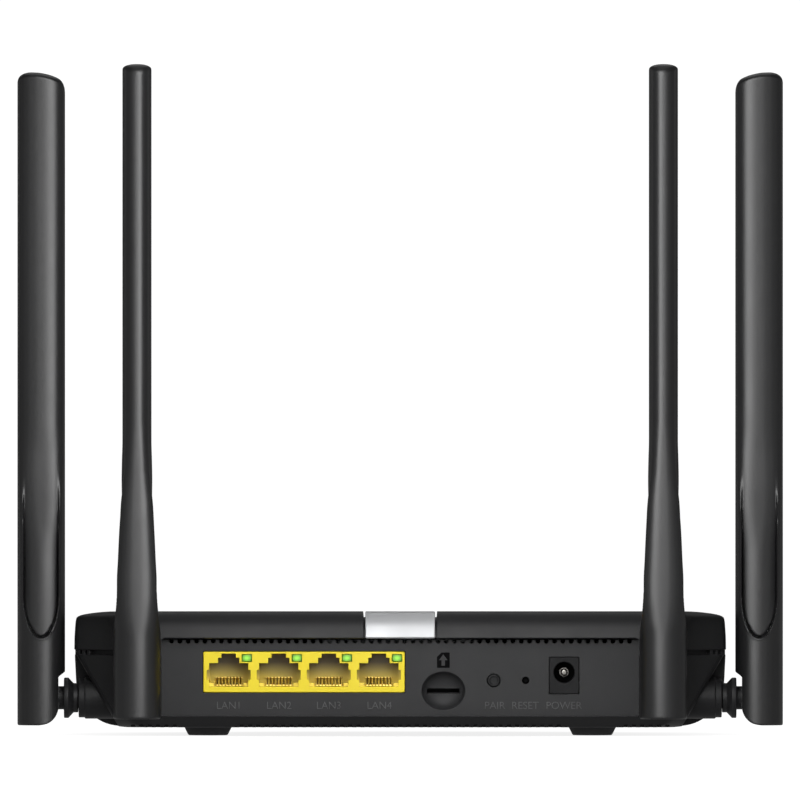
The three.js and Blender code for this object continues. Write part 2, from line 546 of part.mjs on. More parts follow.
// Post: tongue, flange, groove, shaft in the housing's boss, snap collar, bore
function makePost() {
  const g = turned([[1.1, SEAT + 10.8], [3.0, SEAT + 10.8], [3.8, SEAT + 10.0], [3.8, SEAT + 9.75],
    [POST_SHAFT_R, SEAT + 9.75], [POST_SHAFT_R, SEAT - 0.1], [POST_NECK_R, SEAT - 0.1], [POST_NECK_R, 10.9],
    [POST_FLANGE_R, 9.45], [POST_FLANGE_R, 8.2], [3.25, 8.2], [3.25, 6.4], [0, 6.4], [0, 11.0], [1.1, 11.0],
    [1.1, SEAT + 10.8]], 12);
  let p = toSolid(g, ALONG_X);
  const tongue = prismXZ([...Array.from({ length: 7 }, (_, i) => {
    const a = Math.PI / 2 + (i / 6) * Math.PI;
    return [3.55 * Math.cos(a), 3.55 * Math.sin(a)];
  }), [6.9, -3.1], [6.9, 3.1]], -3.0, 3.0);
  return p.add(tongue).subtract(cylY(PIN_HOLE_R, -8, 8, 0, 0, 8));
}

const antennaGeometry = toGeometry(makeAntenna());
const postGeometry = toGeometry(makePost());
const pinGeometry = toGeometry(cylY(PIN_R, -5.2, 5.2, 0, 0, 8));
const radiatorGeometry = toGeometry(box(-1.0, 4.7, -0.5, 0.5, 8, 160).add(box(0.8, 2.9, -1.1, 1.1, 20, 48)));

const UNITS = [
  ['side_left', -SIDE_SEAT_X - SEAT, SIDE_Y, SIDE_Z, 0],
  ['side_right', SIDE_SEAT_X + SEAT, SIDE_Y, SIDE_Z, Math.PI],
  ['rear_left', -REAR_ANT_X, REAR_Y - SEAT, REAR_ANT_Z, Math.PI / 2],
  ['rear_right', REAR_ANT_X, REAR_Y - SEAT, REAR_ANT_Z, Math.PI / 2],
];
for (const [name, x, y, z, turn] of UNITS) {
  const unit = new THREE.Group();
  unit.position.set(x, y, z);
  unit.rotation.z = turn;
  body.add(unit);
  add(unit, `${name}_antenna`, antennaGeometry.clone(), antennaPlastic());
  add(unit, `${name}_swivel_post`, postGeometry.clone(), blackPlastic());
  add(unit, `${name}_hinge_pin`, pinGeometry.clone(), steel());
  add(unit, `${name}_radiator`, radiatorGeometry.clone(), material(0x2f6b45, 0.5));
}

// Coaxial leads from the posts' bores to sockets on the board
function lead(points, end) {
  const path = new THREE.CatmullRomCurve3(points.map((p) => new THREE.Vector3(...p)), false, 'catmullrom', 0.5);
  const ring = new THREE.Shape(Array.from({ length: 8 }, (_, i) =>
    new THREE.Vector2(0.6 * Math.cos(i * Math.PI / 4), 0.6 * Math.sin(i * Math.PI / 4))));
  const tube = toSolid(new THREE.ExtrudeGeometry(ring, { steps: 11, bevelEnabled: false, extrudePath: path }));
  return tube.add(cylZ(1.3, ON_BOARD, 13.4, end[0], end[1], 8));
}
for (const [s, side] of [[-1, 'left'], [1, 'right']]) {
  add(body, `side_${side}_coax`, lead([
    [s * 81, -49, 10.5], [s * 76.5, -49, 10.4], [s * 70.5, -45.8, 8.4], [s * 65.2, -39, 7.4], [s * 64.6, -28, 7.4],
    [s * 64.6, -8, 8.2], [s * 64.2, 4, 11.6], [s * 61.5, 11, 13.4], [s * 57.0, 14.5, 12.6]], [s * 56.6, 14.7]), material(0x2a2a2a, 0.5));
  add(body, `rear_${side}_coax`, lead([
    [s * 73.3, -52.5, 12.5], [s * 73.2, -48, 12.6], [s * 71, -42.4, 14.5], [s * 65.4, -37, 15.8], [s * 62, -32, 15.2],
    [s * 59.6, -28.6, 13.0]], [s * 59.3, -28.2]), material(0x9a9a98, 0.5));
}

export default group;
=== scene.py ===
import bpy
import bmesh
import math
import numpy as np
from mathutils import Matrix, Vector

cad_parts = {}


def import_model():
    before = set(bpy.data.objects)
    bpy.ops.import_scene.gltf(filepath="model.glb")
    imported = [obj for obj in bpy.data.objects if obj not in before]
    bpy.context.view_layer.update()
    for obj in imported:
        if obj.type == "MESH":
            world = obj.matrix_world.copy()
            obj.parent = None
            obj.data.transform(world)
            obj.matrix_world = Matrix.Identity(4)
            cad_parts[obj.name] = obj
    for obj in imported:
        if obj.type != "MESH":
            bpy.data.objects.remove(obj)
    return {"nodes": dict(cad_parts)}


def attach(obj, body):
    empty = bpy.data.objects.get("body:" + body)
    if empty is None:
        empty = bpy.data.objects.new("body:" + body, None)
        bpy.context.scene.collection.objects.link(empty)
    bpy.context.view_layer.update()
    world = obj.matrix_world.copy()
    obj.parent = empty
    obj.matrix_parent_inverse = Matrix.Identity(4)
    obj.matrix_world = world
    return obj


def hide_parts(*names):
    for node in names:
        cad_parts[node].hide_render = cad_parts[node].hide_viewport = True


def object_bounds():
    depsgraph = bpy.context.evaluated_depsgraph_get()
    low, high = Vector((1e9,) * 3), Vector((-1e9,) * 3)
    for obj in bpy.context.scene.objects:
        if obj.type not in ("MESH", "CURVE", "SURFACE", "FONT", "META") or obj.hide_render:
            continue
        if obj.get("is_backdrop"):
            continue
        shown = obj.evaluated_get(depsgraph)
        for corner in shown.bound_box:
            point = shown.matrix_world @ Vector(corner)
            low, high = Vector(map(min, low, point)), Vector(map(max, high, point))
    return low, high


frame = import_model()
CAD_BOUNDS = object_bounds()
NODES = frame["nodes"]
scene = bpy.context.scene
scene.view_settings.view_transform = "Standard"

# Everything is drawn in millimetres in the housing's own frame, then moved
# into the shared frame: metres, with the origin under the bounding box.
MM = 0.001
SHIFT_Y = 8.55
TO_FRAME = Matrix.Translation((0, SHIFT_Y * MM, 0)) @ Matrix.Scale(MM, 4)

# ------------------------------------------------------------- camera first
PANEL_FACE = (-57.2 + SHIFT_Y) * MM
cam_data = bpy.data.cameras.new("camera")
cam_data.lens = 1200
cam_data.sensor_width = 36
cam_data.clip_start = 0.5
cam_data.clip_end = 200
camera = bpy.data.objects.new("camera", cam_data)
camera.location = (-0.00005, PANEL_FACE - 7.44, 0.09366)
camera.rotation_euler = (math.pi / 2, 0, 0)
scene.collection.objects.link(camera)
scene.camera = camera


# ------------------------------------------------------------------ helpers
def pchip(xs, ys):
    """Monotone cubic through the points, as a function of x."""
    x = np.array(xs, float)
    y = np.array(ys, float)
    h = np.diff(x)
    d = np.diff(y) / h
    m = np.zeros(len(x))
    m[0], m[-1] = d[0], d[-1]
    for i in range(1, len(x) - 1):
        if d[i - 1] * d[i] > 0:
            w1, w2 = 2 * h[i] + h[i - 1], h[i] + 2 * h[i - 1]
            m[i] = (w1 + w2) / (w1 / d[i - 1] + w2 / d[i])

    def f(q):
        q = np.clip(np.asarray(q, float), x[0], x[-1])
        k = np.clip(np.searchsorted(x, q, side="right") - 1, 0, len(x) - 2)
        t = (q - x[k]) / h[k]
        return ((1 + 2 * t) * (1 - t) ** 2 * y[k] + t * (1 - t) ** 2 * h[k] * m[k]
                + t * t * (3 - 2 * t) * y[k + 1] + t * t * (t - 1) * h[k] * m[k + 1])
    return f


def smooth(t):
    t = np.clip(t, 0, 1)
    return t * t * (3 - 2 * t)


def obj(name, verts, faces, clean=True, dist=1e-4):
    me = bpy.data.meshes.new(name)
    me.from_pydata([tuple(map(float, v)) for v in verts], [], [tuple(map(int, f)) for f in faces])
    me.update()
    o = bpy.data.objects.new(name, me)
    scene.collection.objects.link(o)
    if clean:
        tidy(o, dist)
    return o


def tidy(o, dist=1e-4):
    bm = bmesh.new()
    bm.from_mesh(o.data)
    bmesh.ops.remove_doubles(bm, verts=bm.verts, dist=dist)
    bmesh.ops.dissolve_degenerate(bm, edges=bm.edges, dist=dist * 0.5)
    loose = [v for v in bm.verts if not v.link_faces]
    bmesh.ops.delete(bm, geom=loose, context="VERTS")
    bmesh.ops.recalc_face_normals(bm, faces=bm.faces)
    bm.to_mesh(o.data)
    bm.free()
    o.data.update()


def drop(o):
    me = o.data
    bpy.data.objects.remove(o)
    if me and me.users == 0:
        bpy.data.meshes.remove(me)


def volume(me):
    bm = bmesh.new()
    bm.from_mesh(me)
    v = bm.calc_volume(signed=False)
    bm.free()
    return v


def boolean(target, tool, op="DIFFERENCE"):
    """target with tool cut out of it, added to it or kept in common; the tool goes."""
    before = volume(target.data)
    done = None
    for solver in ("MANIFOLD", "EXACT"):
        m = target.modifiers.new("b", "BOOLEAN")
        m.operation = op
        m.object = tool
        try:
            m.solver = solver
        except TypeError:
            target.modifiers.clear()
            continue
        if solver == "EXACT":
            m.use_self = True
        bpy.context.view_layer.update()
        dg = bpy.context.evaluated_depsgraph_get()
        me = bpy.data.meshes.new_from_object(target.evaluated_get(dg))
        target.modifiers.clear()
        changed = abs(volume(me) - before) > 1e-6 * max(before, 1)
        if len(me.polygons) and changed:
            done = me
            break
        bpy.data.meshes.remove(me)
        print(f"note: {solver} boolean {op} left {target.name} unchanged by {tool.name}")
    if done is not None:
        old = target.data
        target.data = done
        bpy.data.meshes.remove(old)
    drop(tool)
    return target


def add(target, *tools):
    for t in tools:
        boolean(target, t, "UNION")
    return target


def cut(target, *tools):
    for t in tools:
        boolean(target, t, "DIFFERENCE")
    return target


def join(name, parts):
    """Solids that don't touch, as one mesh."""
    verts, faces = [], []
    for p in parts:
        k = len(verts)
        verts += [tuple(v.co) for v in p.data.vertices]
        faces += [tuple(k + i for i in f.vertices) for f in p.data.polygons]
    for p in parts:
        drop(p)
    return obj(name, verts, faces, clean=False)


def loft(name, rings, cap0=True, cap1=True, dist=1e-4):
    n = len(rings[0])
    verts = [p for r in rings for p in r]
    faces = []
    for k in range(len(rings) - 1):
        a, b = k * n, (k + 1) * n
        for i in range(n):
            j = (i + 1) % n
            faces.append((a + i, a + j, b + j, b + i))
    if cap0:
        faces.append(tuple(range(n - 1, -1, -1)))
    if cap1:
        faces.append(tuple(range((len(rings) - 1) * n, len(rings) * n)))
    return obj(name, verts, faces, dist=dist)


def fillet(points, radii, seg=4, closed=True):
    """Corners replaced by small curves; radii is one number or one per point."""
    n = len(points)
    r = [radii] * n if np.isscalar(radii) else list(radii)
    out = []
    for i in range(n):
        p = np.array(points[i], float)
        if not closed and i in (0, n - 1) or r[i] <= 0:
            out.append(p)
            continue
        a, b = np.array(points[i - 1], float), np.array(points[(i + 1) % n], float)
        la, lb = np.linalg.norm(a - p), np.linalg.norm(b - p)
        da, db = (a - p) / la, (b - p) / lb
        cosang = np.clip(np.dot(da, db), -1, 1)
        ang = math.acos(cosang)
        if ang > math.pi - 0.02:
            out.append(p)
            continue
        t = min(r[i] / math.tan(ang / 2), la * 0.48, lb * 0.48)
        s, e = p + da * t, p + db * t
        for k in range(seg + 1):
            q = k / seg
            w = 1 / (math.sin(ang / 2) + 1e-9)
            w = 1.0 if w > 6 else math.sin(ang / 2)
            c = ((1 - q) ** 2 * s + 2 * q * (1 - q) * w * p + q * q * e) / ((1 - q) ** 2 + 2 * q * (1 - q) * w + q * q)
            out.append(c)
    return [tuple(c) for c in out]


def basis(axis, at):
    """Matrix that takes +Z to the axis, with its origin at the point."""
    m = {"X": Matrix(((0, 0, 1), (0, 1, 0), (-1, 0, 0))), "Y": Matrix(((1, 0, 0), (0, 0, 1), (0, -1, 0))),
         "Z": Matrix.Identity(3), "-X": Matrix(((0, 0, -1), (0, 1, 0), (1, 0, 0)))}[axis].to_4x4()
    return Matrix.Translation(at) @ m


def lathe(name, profile, n=48, axis="Z", at=(0, 0, 0), loop=False):
    """Profile of (radius, height) turned about the axis through the point."""
    m = basis(axis, at)
    pts = list(profile)
    rings = []
    for r, h in pts:
        rings.append([m @ Vector((max(r, 0) * math.cos(2 * math.pi * i / n), max(r, 0) * math.sin(2 * math.pi * i / n), h)) for i in range(n)])
    if loop:
        rings.append(rings[0])
    return loft(name, rings, cap0=False, cap1=False, dist=2e-4)


def cyl(name, r, h0, h1, axis, at, n=32, flare=0.0):
    """Cylinder; a flare widens its h0 end, which leaves a rounded mouth when it cuts."""
    prof = [(0, h0 - 1.0), (r + flare, h0 - 1.0)] if flare else [(0, h0), (r, h0)]
    if flare:
        for k in range(5):
            a = k / 4 * math.pi / 2
            prof.append((r + flare * (1 - math.sin(a)), h0 + flare * (1 - math.cos(a))))
    prof += [(r, h1), (0, h1)]
    return lathe(name, prof, n, axis, at)


def box(name, x0, x1, y0, y1, z0, z1):
    v = [(x0, y0, z0), (x1, y0, z0), (x1, y1, z0), (x0, y1, z0), (x0, y0, z1), (x1, y0, z1), (x1, y1, z1), (x0, y1, z1)]
    f = [(0, 3, 2, 1), (4, 5, 6, 7), (0, 1, 5, 4), (1, 2, 6, 5), (2, 3, 7, 6), (3, 0, 4, 7)]
    return obj(name, v, f, clean=False)


def rrect(x0, x1, z0, z1, r, seg=5):
    """Rounded rectangle outline."""
    r = max(min(r, (x1 - x0) / 2 - 1e-3, (z1 - z0) / 2 - 1e-3), 1e-3)
    out = []
    for cx, cz, a0 in ((x1 - r, z1 - r, 0), (x0 + r, z1 - r, 90), (x0 + r, z0 + r, 180), (x1 - r, z0 + r, 270)):
        for k in range(seg + 1):
            a = math.radians(a0 + 90 * k / seg)
            out.append((cx + r * math.cos(a), cz + r * math.sin(a)))
    return out


def stack_xz(name, sections):
    """Solid from (y, outline in XZ) sections with the same number of points."""
    return loft(name, [[(x, y, z) for x, z in pts] for y, pts in sections])


def rounded_block(name, x0, x1, y0, y1, z0, z1, r_corner, r_edge, back_edge=0.0, seg=5):
    """Block whose front (-Y) edges are rounded over."""
    secs = []
    for k in range(seg + 1):
        a = k / seg * math.pi / 2
        d = r_edge * (1 - math.sin(a))
        secs.append((y0 + r_edge * (1 - math.cos(a)), rrect(x0 + d, x1 - d, z0 + d, z1 - d, r_corner)))
    if back_edge:
        for k in range(seg + 1):
            a = k / seg * math.pi / 2
            d = back_edge * (1 - math.cos(a))
            secs.append((y1 - back_edge * (1 - math.sin(a)), rrect(x0 + d, x1 - d, z0 + d, z1 - d, r_corner)))
    else:
        secs.append((y1, rrect(x0, x1, z0, z1, r_corner)))
    return stack_xz(name, secs)


def mouth(name, outline, y_face, y_end, flare=0.2, seg=4, front=1.5):
    """Cutting tool for an opening in a -Y face: outline(d) is its outline grown by d."""
    secs = [(y_face - front, outline(flare))]
    for k in range(seg + 1):
        a = k / seg * math.pi / 2
        secs.append((y_face + flare * (1 - math.cos(a)) - (1e-3 if k == 0 else 0), outline(flare * (1 - math.sin(a)))))
    secs.append((y_end, outline(0)))
    return stack_xz(name, secs)


def prism_xz(name, pts, y0, y1):
    return stack_xz(name, [(y0, pts), (y1, pts)])


def prism_yz(name, pts, x0, x1):
    return loft(name, [[(x0, y, z) for y, z in pts], [(x1, y, z) for y, z in pts]])


# ---------------------------------------------------------------- materials
def srgb(r, g, b):
    f = lambda c: (c / 255 / 12.92) if c / 255 <= 0.04045 else ((c / 255 + 0.055) / 1.055) ** 2.4
    return (f(r), f(g), f(b), 1)


def scaled(c, k):
    return (min(c[0] * k, 1), min(c[1] * k, 1), min(c[2] * k, 1), 1)


def surface(name, color, rough, rough_var=0.05, color_var=0.12, grain=0.35, depth=0.010, patch=30.0,
            metallic=0.0, ior=1.47, edge=0.0, edge_wear_and_highlight_color=None, edge_radius=0.3, edge_mark_breakup_scale=180.0,
            coat=0.0, spec=0.5, specks=None, emission=0.0, transmission=0.0, round_edges=0.0, brushed=None, painted_recess_shade=None, painted_recess_spec=None, indicator_glow_and_painted_falloff=0.0):
    """A moulded or plated surface: patchy colour and roughness, fine grain in the
    normals, edges painted brighter (part wear, part painted highlight) or smoother."""
    mat = bpy.data.materials.new(name)
    mat.use_nodes = True
    nt = mat.node_tree
    bsdf = nt.nodes["Principled BSDF"]
    bsdf.inputs["Metallic"].default_value = metallic
    bsdf.inputs["IOR"].default_value = ior
    bsdf.inputs["Specular IOR Level"].default_value = spec
    if coat:
        bsdf.inputs["Coat Weight"].default_value = coat
        bsdf.inputs["Coat Roughness"].default_value = 0.25
    if transmission:
        bsdf.inputs["Transmission Weight"].default_value = transmission
    if emission:
        bsdf.inputs["Emission Color"].default_value = color
        bsdf.inputs["Emission Strength"].default_value = emission
    new, link = nt.nodes.new, nt.links.new
    coord = new("ShaderNodeTexCoord")
    source = coord.outputs["Object"]
    if brushed:
        mapping = new("ShaderNodeMapping")
        mapping.inputs["Scale"].default_value = brushed
        link(source, mapping.inputs["Vector"])
        source = mapping.outputs["Vector"]

    def noise(scale, detail=2.0, rough_=0.5, src=None):
        n = new("ShaderNodeTexNoise")
        n.inputs["Scale"].default_value = scale
        n.inputs["Detail"].default_value = detail
        n.inputs["Roughness"].default_value = rough_
        link(src or coord.outputs["Object"], n.inputs["Vector"])
        return n.outputs["Fac"]

    def remap(value, a, b, lo, hi):
        m = new("ShaderNodeMapRange")
        m.clamp = True
        link(value, m.inputs["Value"])
        m.inputs["From Min"].default_value = a
        m.inputs["From Max"].default_value = b
        m.inputs["To Min"].default_value = lo
        m.inputs["To Max"].default_value = hi
        return m.outputs["Result"]

    def mix(fac, a, b):
        m = new("ShaderNodeMix")
        m.data_type = "RGBA"
        link(fac, m.inputs["Factor"])
        for sock, val in ((m.inputs[6], a), (m.inputs[7], b)):
            if isinstance(val, tuple):
                sock.default_value = val
            else:
                link(val, sock)
        return m.outputs[2]

    fine = noise(1000.0 / grain, 2.0, 0.55, source)
    broad = noise(patch, 3.0, 0.6)
    colour = mix(remap(broad, 0.3, 0.7, 0, 1), scaled(color, 1 - color_var), scaled(color, 1 + color_var))
    if specks:
        speck_color, amount = specks
        dots = noise(2600.0, 1.0, 0.4)
        colour = mix(remap(dots, amount, amount + 0.03, 0, 1), colour, speck_color)
    roughness = remap(noise(patch * 4, 4.0, 0.6, source), 0.3, 0.7, rough - rough_var, rough + rough_var)
    bevel = None
    if edge or round_edges:
        bevel = new("ShaderNodeBevel")
        bevel.samples = 4
        bevel.inputs["Radius"].default_value = (round_edges or edge_radius) * MM
    # edges painted lighter: partly rubbed wear, partly a painted highlight for light caught on rounded edges
    if edge:
        geo = new("ShaderNodeNewGeometry")
        dot = new("ShaderNodeVectorMath")
        dot.operation = "DOT_PRODUCT"
        link(bevel.outputs["Normal"], dot.inputs[0])
        link(geo.outputs["Normal"], dot.inputs[1])
        wear_and_highlight_mask = remap(dot.outputs["Value"], 0.995, 0.86, 0, 1)
        breakup = remap(noise(edge_mark_breakup_scale, 4.0, 0.7), 0.35, 0.62, 0.25, 1)
        times = new("ShaderNodeMath")
        times.operation = "MULTIPLY"
        link(wear_and_highlight_mask, times.inputs[0])
        link(breakup, times.inputs[1])
        amount = new("ShaderNodeMath")
        amount.operation = "MULTIPLY"
        link(times.outputs[0], amount.inputs[0])
        amount.inputs[1].default_value = edge
        colour = mix(amount.outputs[0], colour, edge_wear_and_highlight_color or scaled(color, 2.2))
    if painted_recess_shade:
        # painted shade in recesses: far behind the outer face the colour sinks towards a darker one, blended by height
        # between a lower and an upper colour
        y0, y1, z0, z1, low_color, high_color = painted_recess_shade
        part = new("ShaderNodeSeparateXYZ")
        link(coord.outputs["Object"], part.inputs[0])
        inner = mix(remap(part.outputs["Z"], z0 * MM, z1 * MM, 0, 1), low_color, high_color)
        colour = mix(remap(part.outputs["Y"], y0 * MM, y1 * MM, 0, 1), colour, inner)
        # inside the painted shade the specular level drops as well
        if painted_recess_spec is not None:
            both = new("ShaderNodeMath")
            both.operation = "MULTIPLY"
            link(remap(part.outputs["Y"], y0 * MM, y1 * MM, 0, 1), both.inputs[0])
            link(remap(part.outputs["Z"], z0 * MM, z1 * MM, 0, 1), both.inputs[1])
            link(remap(both.outputs[0], 0, 1, spec, painted_recess_spec), bsdf.inputs["Specular IOR Level"])
    link(colour, bsdf.inputs["Base Color"])
    link(roughness, bsdf.inputs["Roughness"])
    # the lens glows as a lit indicator; the fall-off from its bright centre to a dark rim is painted highlight and
    # shade
    if indicator_glow_and_painted_falloff:
        centre = new("ShaderNodeVectorMath")
        centre.operation = "SUBTRACT"
        link(coord.outputs["Generated"], centre.inputs[0])
        centre.inputs[1].default_value = (0.5, 0.5, 0.5)
        flat = new("ShaderNodeVectorMath")
        flat.operation = "MULTIPLY"
        link(centre.outputs[0], flat.inputs[0])
        flat.inputs[1].default_value = (1, 0, 1)
        far = new("ShaderNodeVectorMath")
        far.operation = "LENGTH"
        link(flat.outputs[0], far.inputs[0])
        link(remap(far.outputs["Value"], 0.05, 0.5, indicator_glow_and_painted_falloff, 0.02), bsdf.inputs["Emission Strength"])
        bsdf.inputs["Emission Color"].default_value = scaled(color, 2.4)
    bump = new("ShaderNodeBump")
    bump.inputs["Strength"].default_value = 1.0
    bump.inputs["Distance"].default_value = depth * MM
    link(fine, bump.inputs["Height"])
    if round_edges:
        link(bevel.outputs["Normal"], bump.inputs["Normal"])
    link(bump.outputs["Normal"], bsdf.inputs["Normal"])
    return mat


M = {
    # painted highlight: the housing's edges are painted much lighter, standing in for the floor's reflection on its
    # rounded edges
    "housing": surface("housing_plastic", srgb(33, 33, 34), 0.44, 0.05, 0.10, 0.42, 0.012, edge=0.6, edge_wear_and_highlight_color=srgb(80, 80, 82), round_edges=0.22, spec=0.28),
    # painted shadow: behind the face, the vent holes and slit under the lip turn near black
    "panel": surface("panel_plastic", srgb(45, 45, 46), 0.50, 0.05, 0.08, 0.36, 0.012, edge=0.3, round_edges=0.12, spec=0.27, painted_recess_shade=(-48.55, -48.0, 25.2, 25.9, srgb(45, 45, 46), srgb(2, 2, 2)), painted_recess_spec=0.0),
    "antenna": surface("antenna_plastic", srgb(24, 24, 25), 0.36, 0.02, 0.08, 0.40, 0.005, spec=0.78),
    "silver": surface("trim_silver", srgb(186, 187, 189), 0.42, 0.05, 0.05, 0.5, 0.004, metallic=0.35, brushed=(1, 0.05, 0.05), edge=0.2),
    # painted shade inside the sockets: deeper in, the yellow turns grey-brown towards the top and stays light yellow
    # towards the bottom
    "yellow": surface("port_yellow", srgb(248, 224, 34), 0.42, 0.05, 0.03, 0.5, 0.006, edge=0.2, edge_wear_and_highlight_color=srgb(255, 242, 130), spec=0.35, painted_recess_shade=(-48.4, -44.5, 15.2, 20.4, srgb(255, 232, 96), srgb(124, 113, 90))),
    # painted shade: the inlet's bore turns near black behind its face, with its specular level cut
    "jack": surface("port_black", srgb(28, 28, 29), 0.45, 0.05, 0.10, 0.4, 0.008, edge=0.3, spec=0.14, painted_recess_shade=(-48.5, -47.4, 0, 1, srgb(3, 3, 3), srgb(3, 3, 3)), painted_recess_spec=0.03),
    "gold": surface("contact_gold", srgb(222, 190, 96), 0.34, 0.08, 0.10, 0.6, 0.004, metallic=1.0),
    "lens": surface("lens_green", srgb(84, 140, 24), 0.25, 0.05, 0.10, 0.5, 0.003, indicator_glow_and_painted_falloff=1.3),
    "clear": surface("clear_plastic", srgb(62, 66, 68), 0.16, 0.04, 0.05, 0.6, 0.003),
    "button": surface("button_plastic", srgb(32, 32, 33), 0.40, 0.05, 0.08, 0.4, 0.006, edge=0.3, edge_radius=0.2, spec=0.15),
    # painted highlight: the raised letters are painted lighter than the panel plastic they are moulded in, standing in
    # for their lit edges
    "letters": surface("label_relief_painted_highlight", srgb(76, 76, 77), 0.46, 0.05, 0.08, 0.4, 0.004),
    "metal": surface("plated_metal", srgb(196, 198, 202), 0.28, 0.10, 0.10, 0.6, 0.006, metallic=1.0),
    "pin": surface("inlet_pin", srgb(112, 110, 106), 0.22, 0.04, 0.08, 0.6, 0.003, metallic=1.0),
    "sink": surface("heatsink_aluminium", srgb(168, 171, 174), 0.42, 0.10, 0.08, 0.4, 0.012, metallic=0.9, brushed=(1, 0.1, 1)),
    "board": surface("circuit_board", srgb(26, 78, 46), 0.42, 0.08, 0.18, 0.5, 0.010, specks=(srgb(190, 168, 84), 0.66)),
    "cable": surface("cable_sheath", srgb(46, 46, 47), 0.48, 0.06, 0.10, 0.3, 0.014),
    "rubber": surface("foot_rubber", srgb(46, 46, 47), 0.82, 0.06, 0.16, 0.3, 0.03),
    # near-black ink for the card symbol, also used as painted shade on the reset plunger
    "dark": surface("ink_and_painted_hole_shade", srgb(7, 7, 8), 0.85, 0.05, 0.10, 0.3, 0.006, spec=0.1),
    "reader": surface("blackened_steel_and_slot_shade", srgb(20, 20, 21), 0.5, 0.08, 0.12, 0.4, 0.008, spec=0.3),
    "module": surface("module_resin", srgb(30, 31, 34), 0.46, 0.06, 0.12, 0.4, 0.012),
}


def finish(o, node, body, slot, mat, angle=32, matrix=None):
    """Moves a piece into the shared frame, shades it and ties it to its CAD node."""
    o.data.transform((TO_FRAME @ matrix) if matrix is not None else TO_FRAME)
    o.data.shade_smooth()
    o.data.set_sharp_from_angle(angle=math.radians(angle))
    wn = o.modifiers.new("normals", "WEIGHTED_NORMAL")
    wn.mode = "FACE_AREA"
    wn.weight = 60
    wn.keep_sharp = True
    bpy.context.view_layer.update()
    me = bpy.data.meshes.new_from_object(o.evaluated_get(bpy.context.evaluated_depsgraph_get()))
    o.modifiers.clear()
    old = o.data
    o.data = me
    bpy.data.meshes.remove(old)
    o.data.materials.clear()
    o.data.materials.append(mat)
    for p in o.data.polygons:
        p.material_index = 0
    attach(o, body)
    if node:
        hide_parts(node)
    return o


# ----------------------------------------------------------- housing outline
HALF_W, REAR_Y, FRONT_Y = 91.0, -61.0, 61.0
PLAN = [(-80.2, -61), (80.2, -61), (91, -52), (91, 43), (76, 61), (-76, 61), (-91, 43), (-91, -52)]


def inset_outline(insets, radius, steps=8):
    n = len(PLAN)
    lines = []
    for i in range(n):
        p, q = np.array(PLAN[i], float), np.array(PLAN[(i + 1) % n], float)
        d = (q - p) / np.linalg.norm(q - p)
        lines.append((p + np.array([-d[1], d[0]]) * insets[i], d))
    out = []
    for i in range(n):
        (ap, ad), (bp, bd) = lines[i - 1], lines[i]
        cross = ad[0] * bd[1] - ad[1] * bd[0]
        t = ((bp[0] - ap[0]) * bd[1] - (bp[1] - ap[1]) * bd[0]) / cross
        corner = ap + ad * t
        turn = math.acos(np.clip(np.dot(ad, bd), -1, 1))
        back = radius * math.tan(turn / 2)
        start = corner - ad * back
        centre = start + np.array([-ad[1], ad[0]]) * radius
        for k in range(steps + 1):
            a = turn * k / steps
            v = start - centre
            out.append((centre[0] + v[0] * math.cos(a) - v[1] * math.sin(a), centre[1] + v[0] * math.sin(a) + v[1] * math.cos(a)))
    return out


def level(z, rear, side, front, radius=3.2, warp=False, steps=8):
    mr, mf = (rear + side) / 2, (front + side) / 2
    pts = inset_outline([rear, mr, side, mf, front, mf, side, mr], max(0.6, radius), steps)
    return [(x, y, cover_z(z, y) if warp else z) for x, y in pts]


def cover_z(z, y):
    if z <= 23.9:
        return z
    t = min(max((y + 61) / 122, 0), 1)
    return 23.9 + (z - 23.9) * (1 - 0.26 * t)


COVER = np.array([(23.9, 0, 0, 0), (27.1, 0.1, 0.05, 0.1), (30, 0.8, 0.2, 0.4), (32, 1.8, 0.35, 0.9),
                  (33.1, 2.8, 0.6, 1.6), (33.8, 3.7, 1.7, 2.6), (34.4, 4.9, 4.6, 4.4), (34.75, 6.5, 7.6, 6.8),
                  (34.9, 9, 9.5, 9.5)])
_t = np.concatenate([[0], np.cumsum(np.hypot(np.diff(COVER[:, 0]), np.diff(COVER[:, 1])))])
_cover_f = [pchip(_t, COVER[:, k]) for k in range(4)]


def cover_levels(n=34):
    """Dense levels of the cover, each (z, rear, side, front)."""
    return [tuple(float(f(t)) for f in _cover_f) for t in np.linspace(0, _t[-1], n)]


def cover_rings(d, bottom=23.9, n=34, rim=0.0):
    rings = []
    for z, r, s, f in cover_levels(n):
        zz = bottom if z <= 23.9001 else z - (d if z > 30 else d * (z - 23.9) / 6.1)
        if z <= 23.9001 and rim:
            for dz, di in ((0, rim), (rim * 0.13, rim * 0.5), (rim * 0.5, rim * 0.13), (rim, 0.0)):
                rings.append(level(bottom + dz, r + d + di, s + d + di, f + d + di))
            continue
        rings.append(level(zz, r + d, s + d, f + d, warp=True))
    return rings


SCREWS = [(-70, -32), (70, -32), (-70, 36), (70, 36)]
PEGS = [(-57, -22), (57, -22), (-57, 24), (57, 24)]
FEET = [(-53.7, -44), (53.7, -44), (-53.7, 42), (53.7, 42)]
DIAG = (22.2 - 4.9) / (90.2 - 80.0)
diag_x = lambda z: -90.2 + (22.2 - z) / DIAG


def corner_tool(shift, y1, side, round_over=1.3):
    """Tool for the cut-away rear corner; the edge it leaves on the plan chamfer is rounded over."""
    def outline(s, depth=None, y=None):
        pts = [(diag_x(24.4) + s, 24.4), (-97, 24.4), (-97, -1), (diag_x(-1) + s, -1)]
        out = []
        for x, z in pts:
            face = -61 + max(abs(x) - 80.2, 0) * (9 / 10.8)
            out.append((x if side < 0 else -x, face + depth if y is None else y, z))
        return out
    if not round_over:
        return loft("corner", [outline(shift, y=-64), outline(shift, y=y1)])
    rings = [outline(shift + round_over, depth=-4)]
    for k in range(11):
        a = k / 10 * math.pi / 2
        rings.append(outline(shift + round_over * (1 - math.sin(a)), depth=round_over * (1 - math.cos(a))))
    rings.append(outline(shift, y=y1))
    return loft("corner", rings)


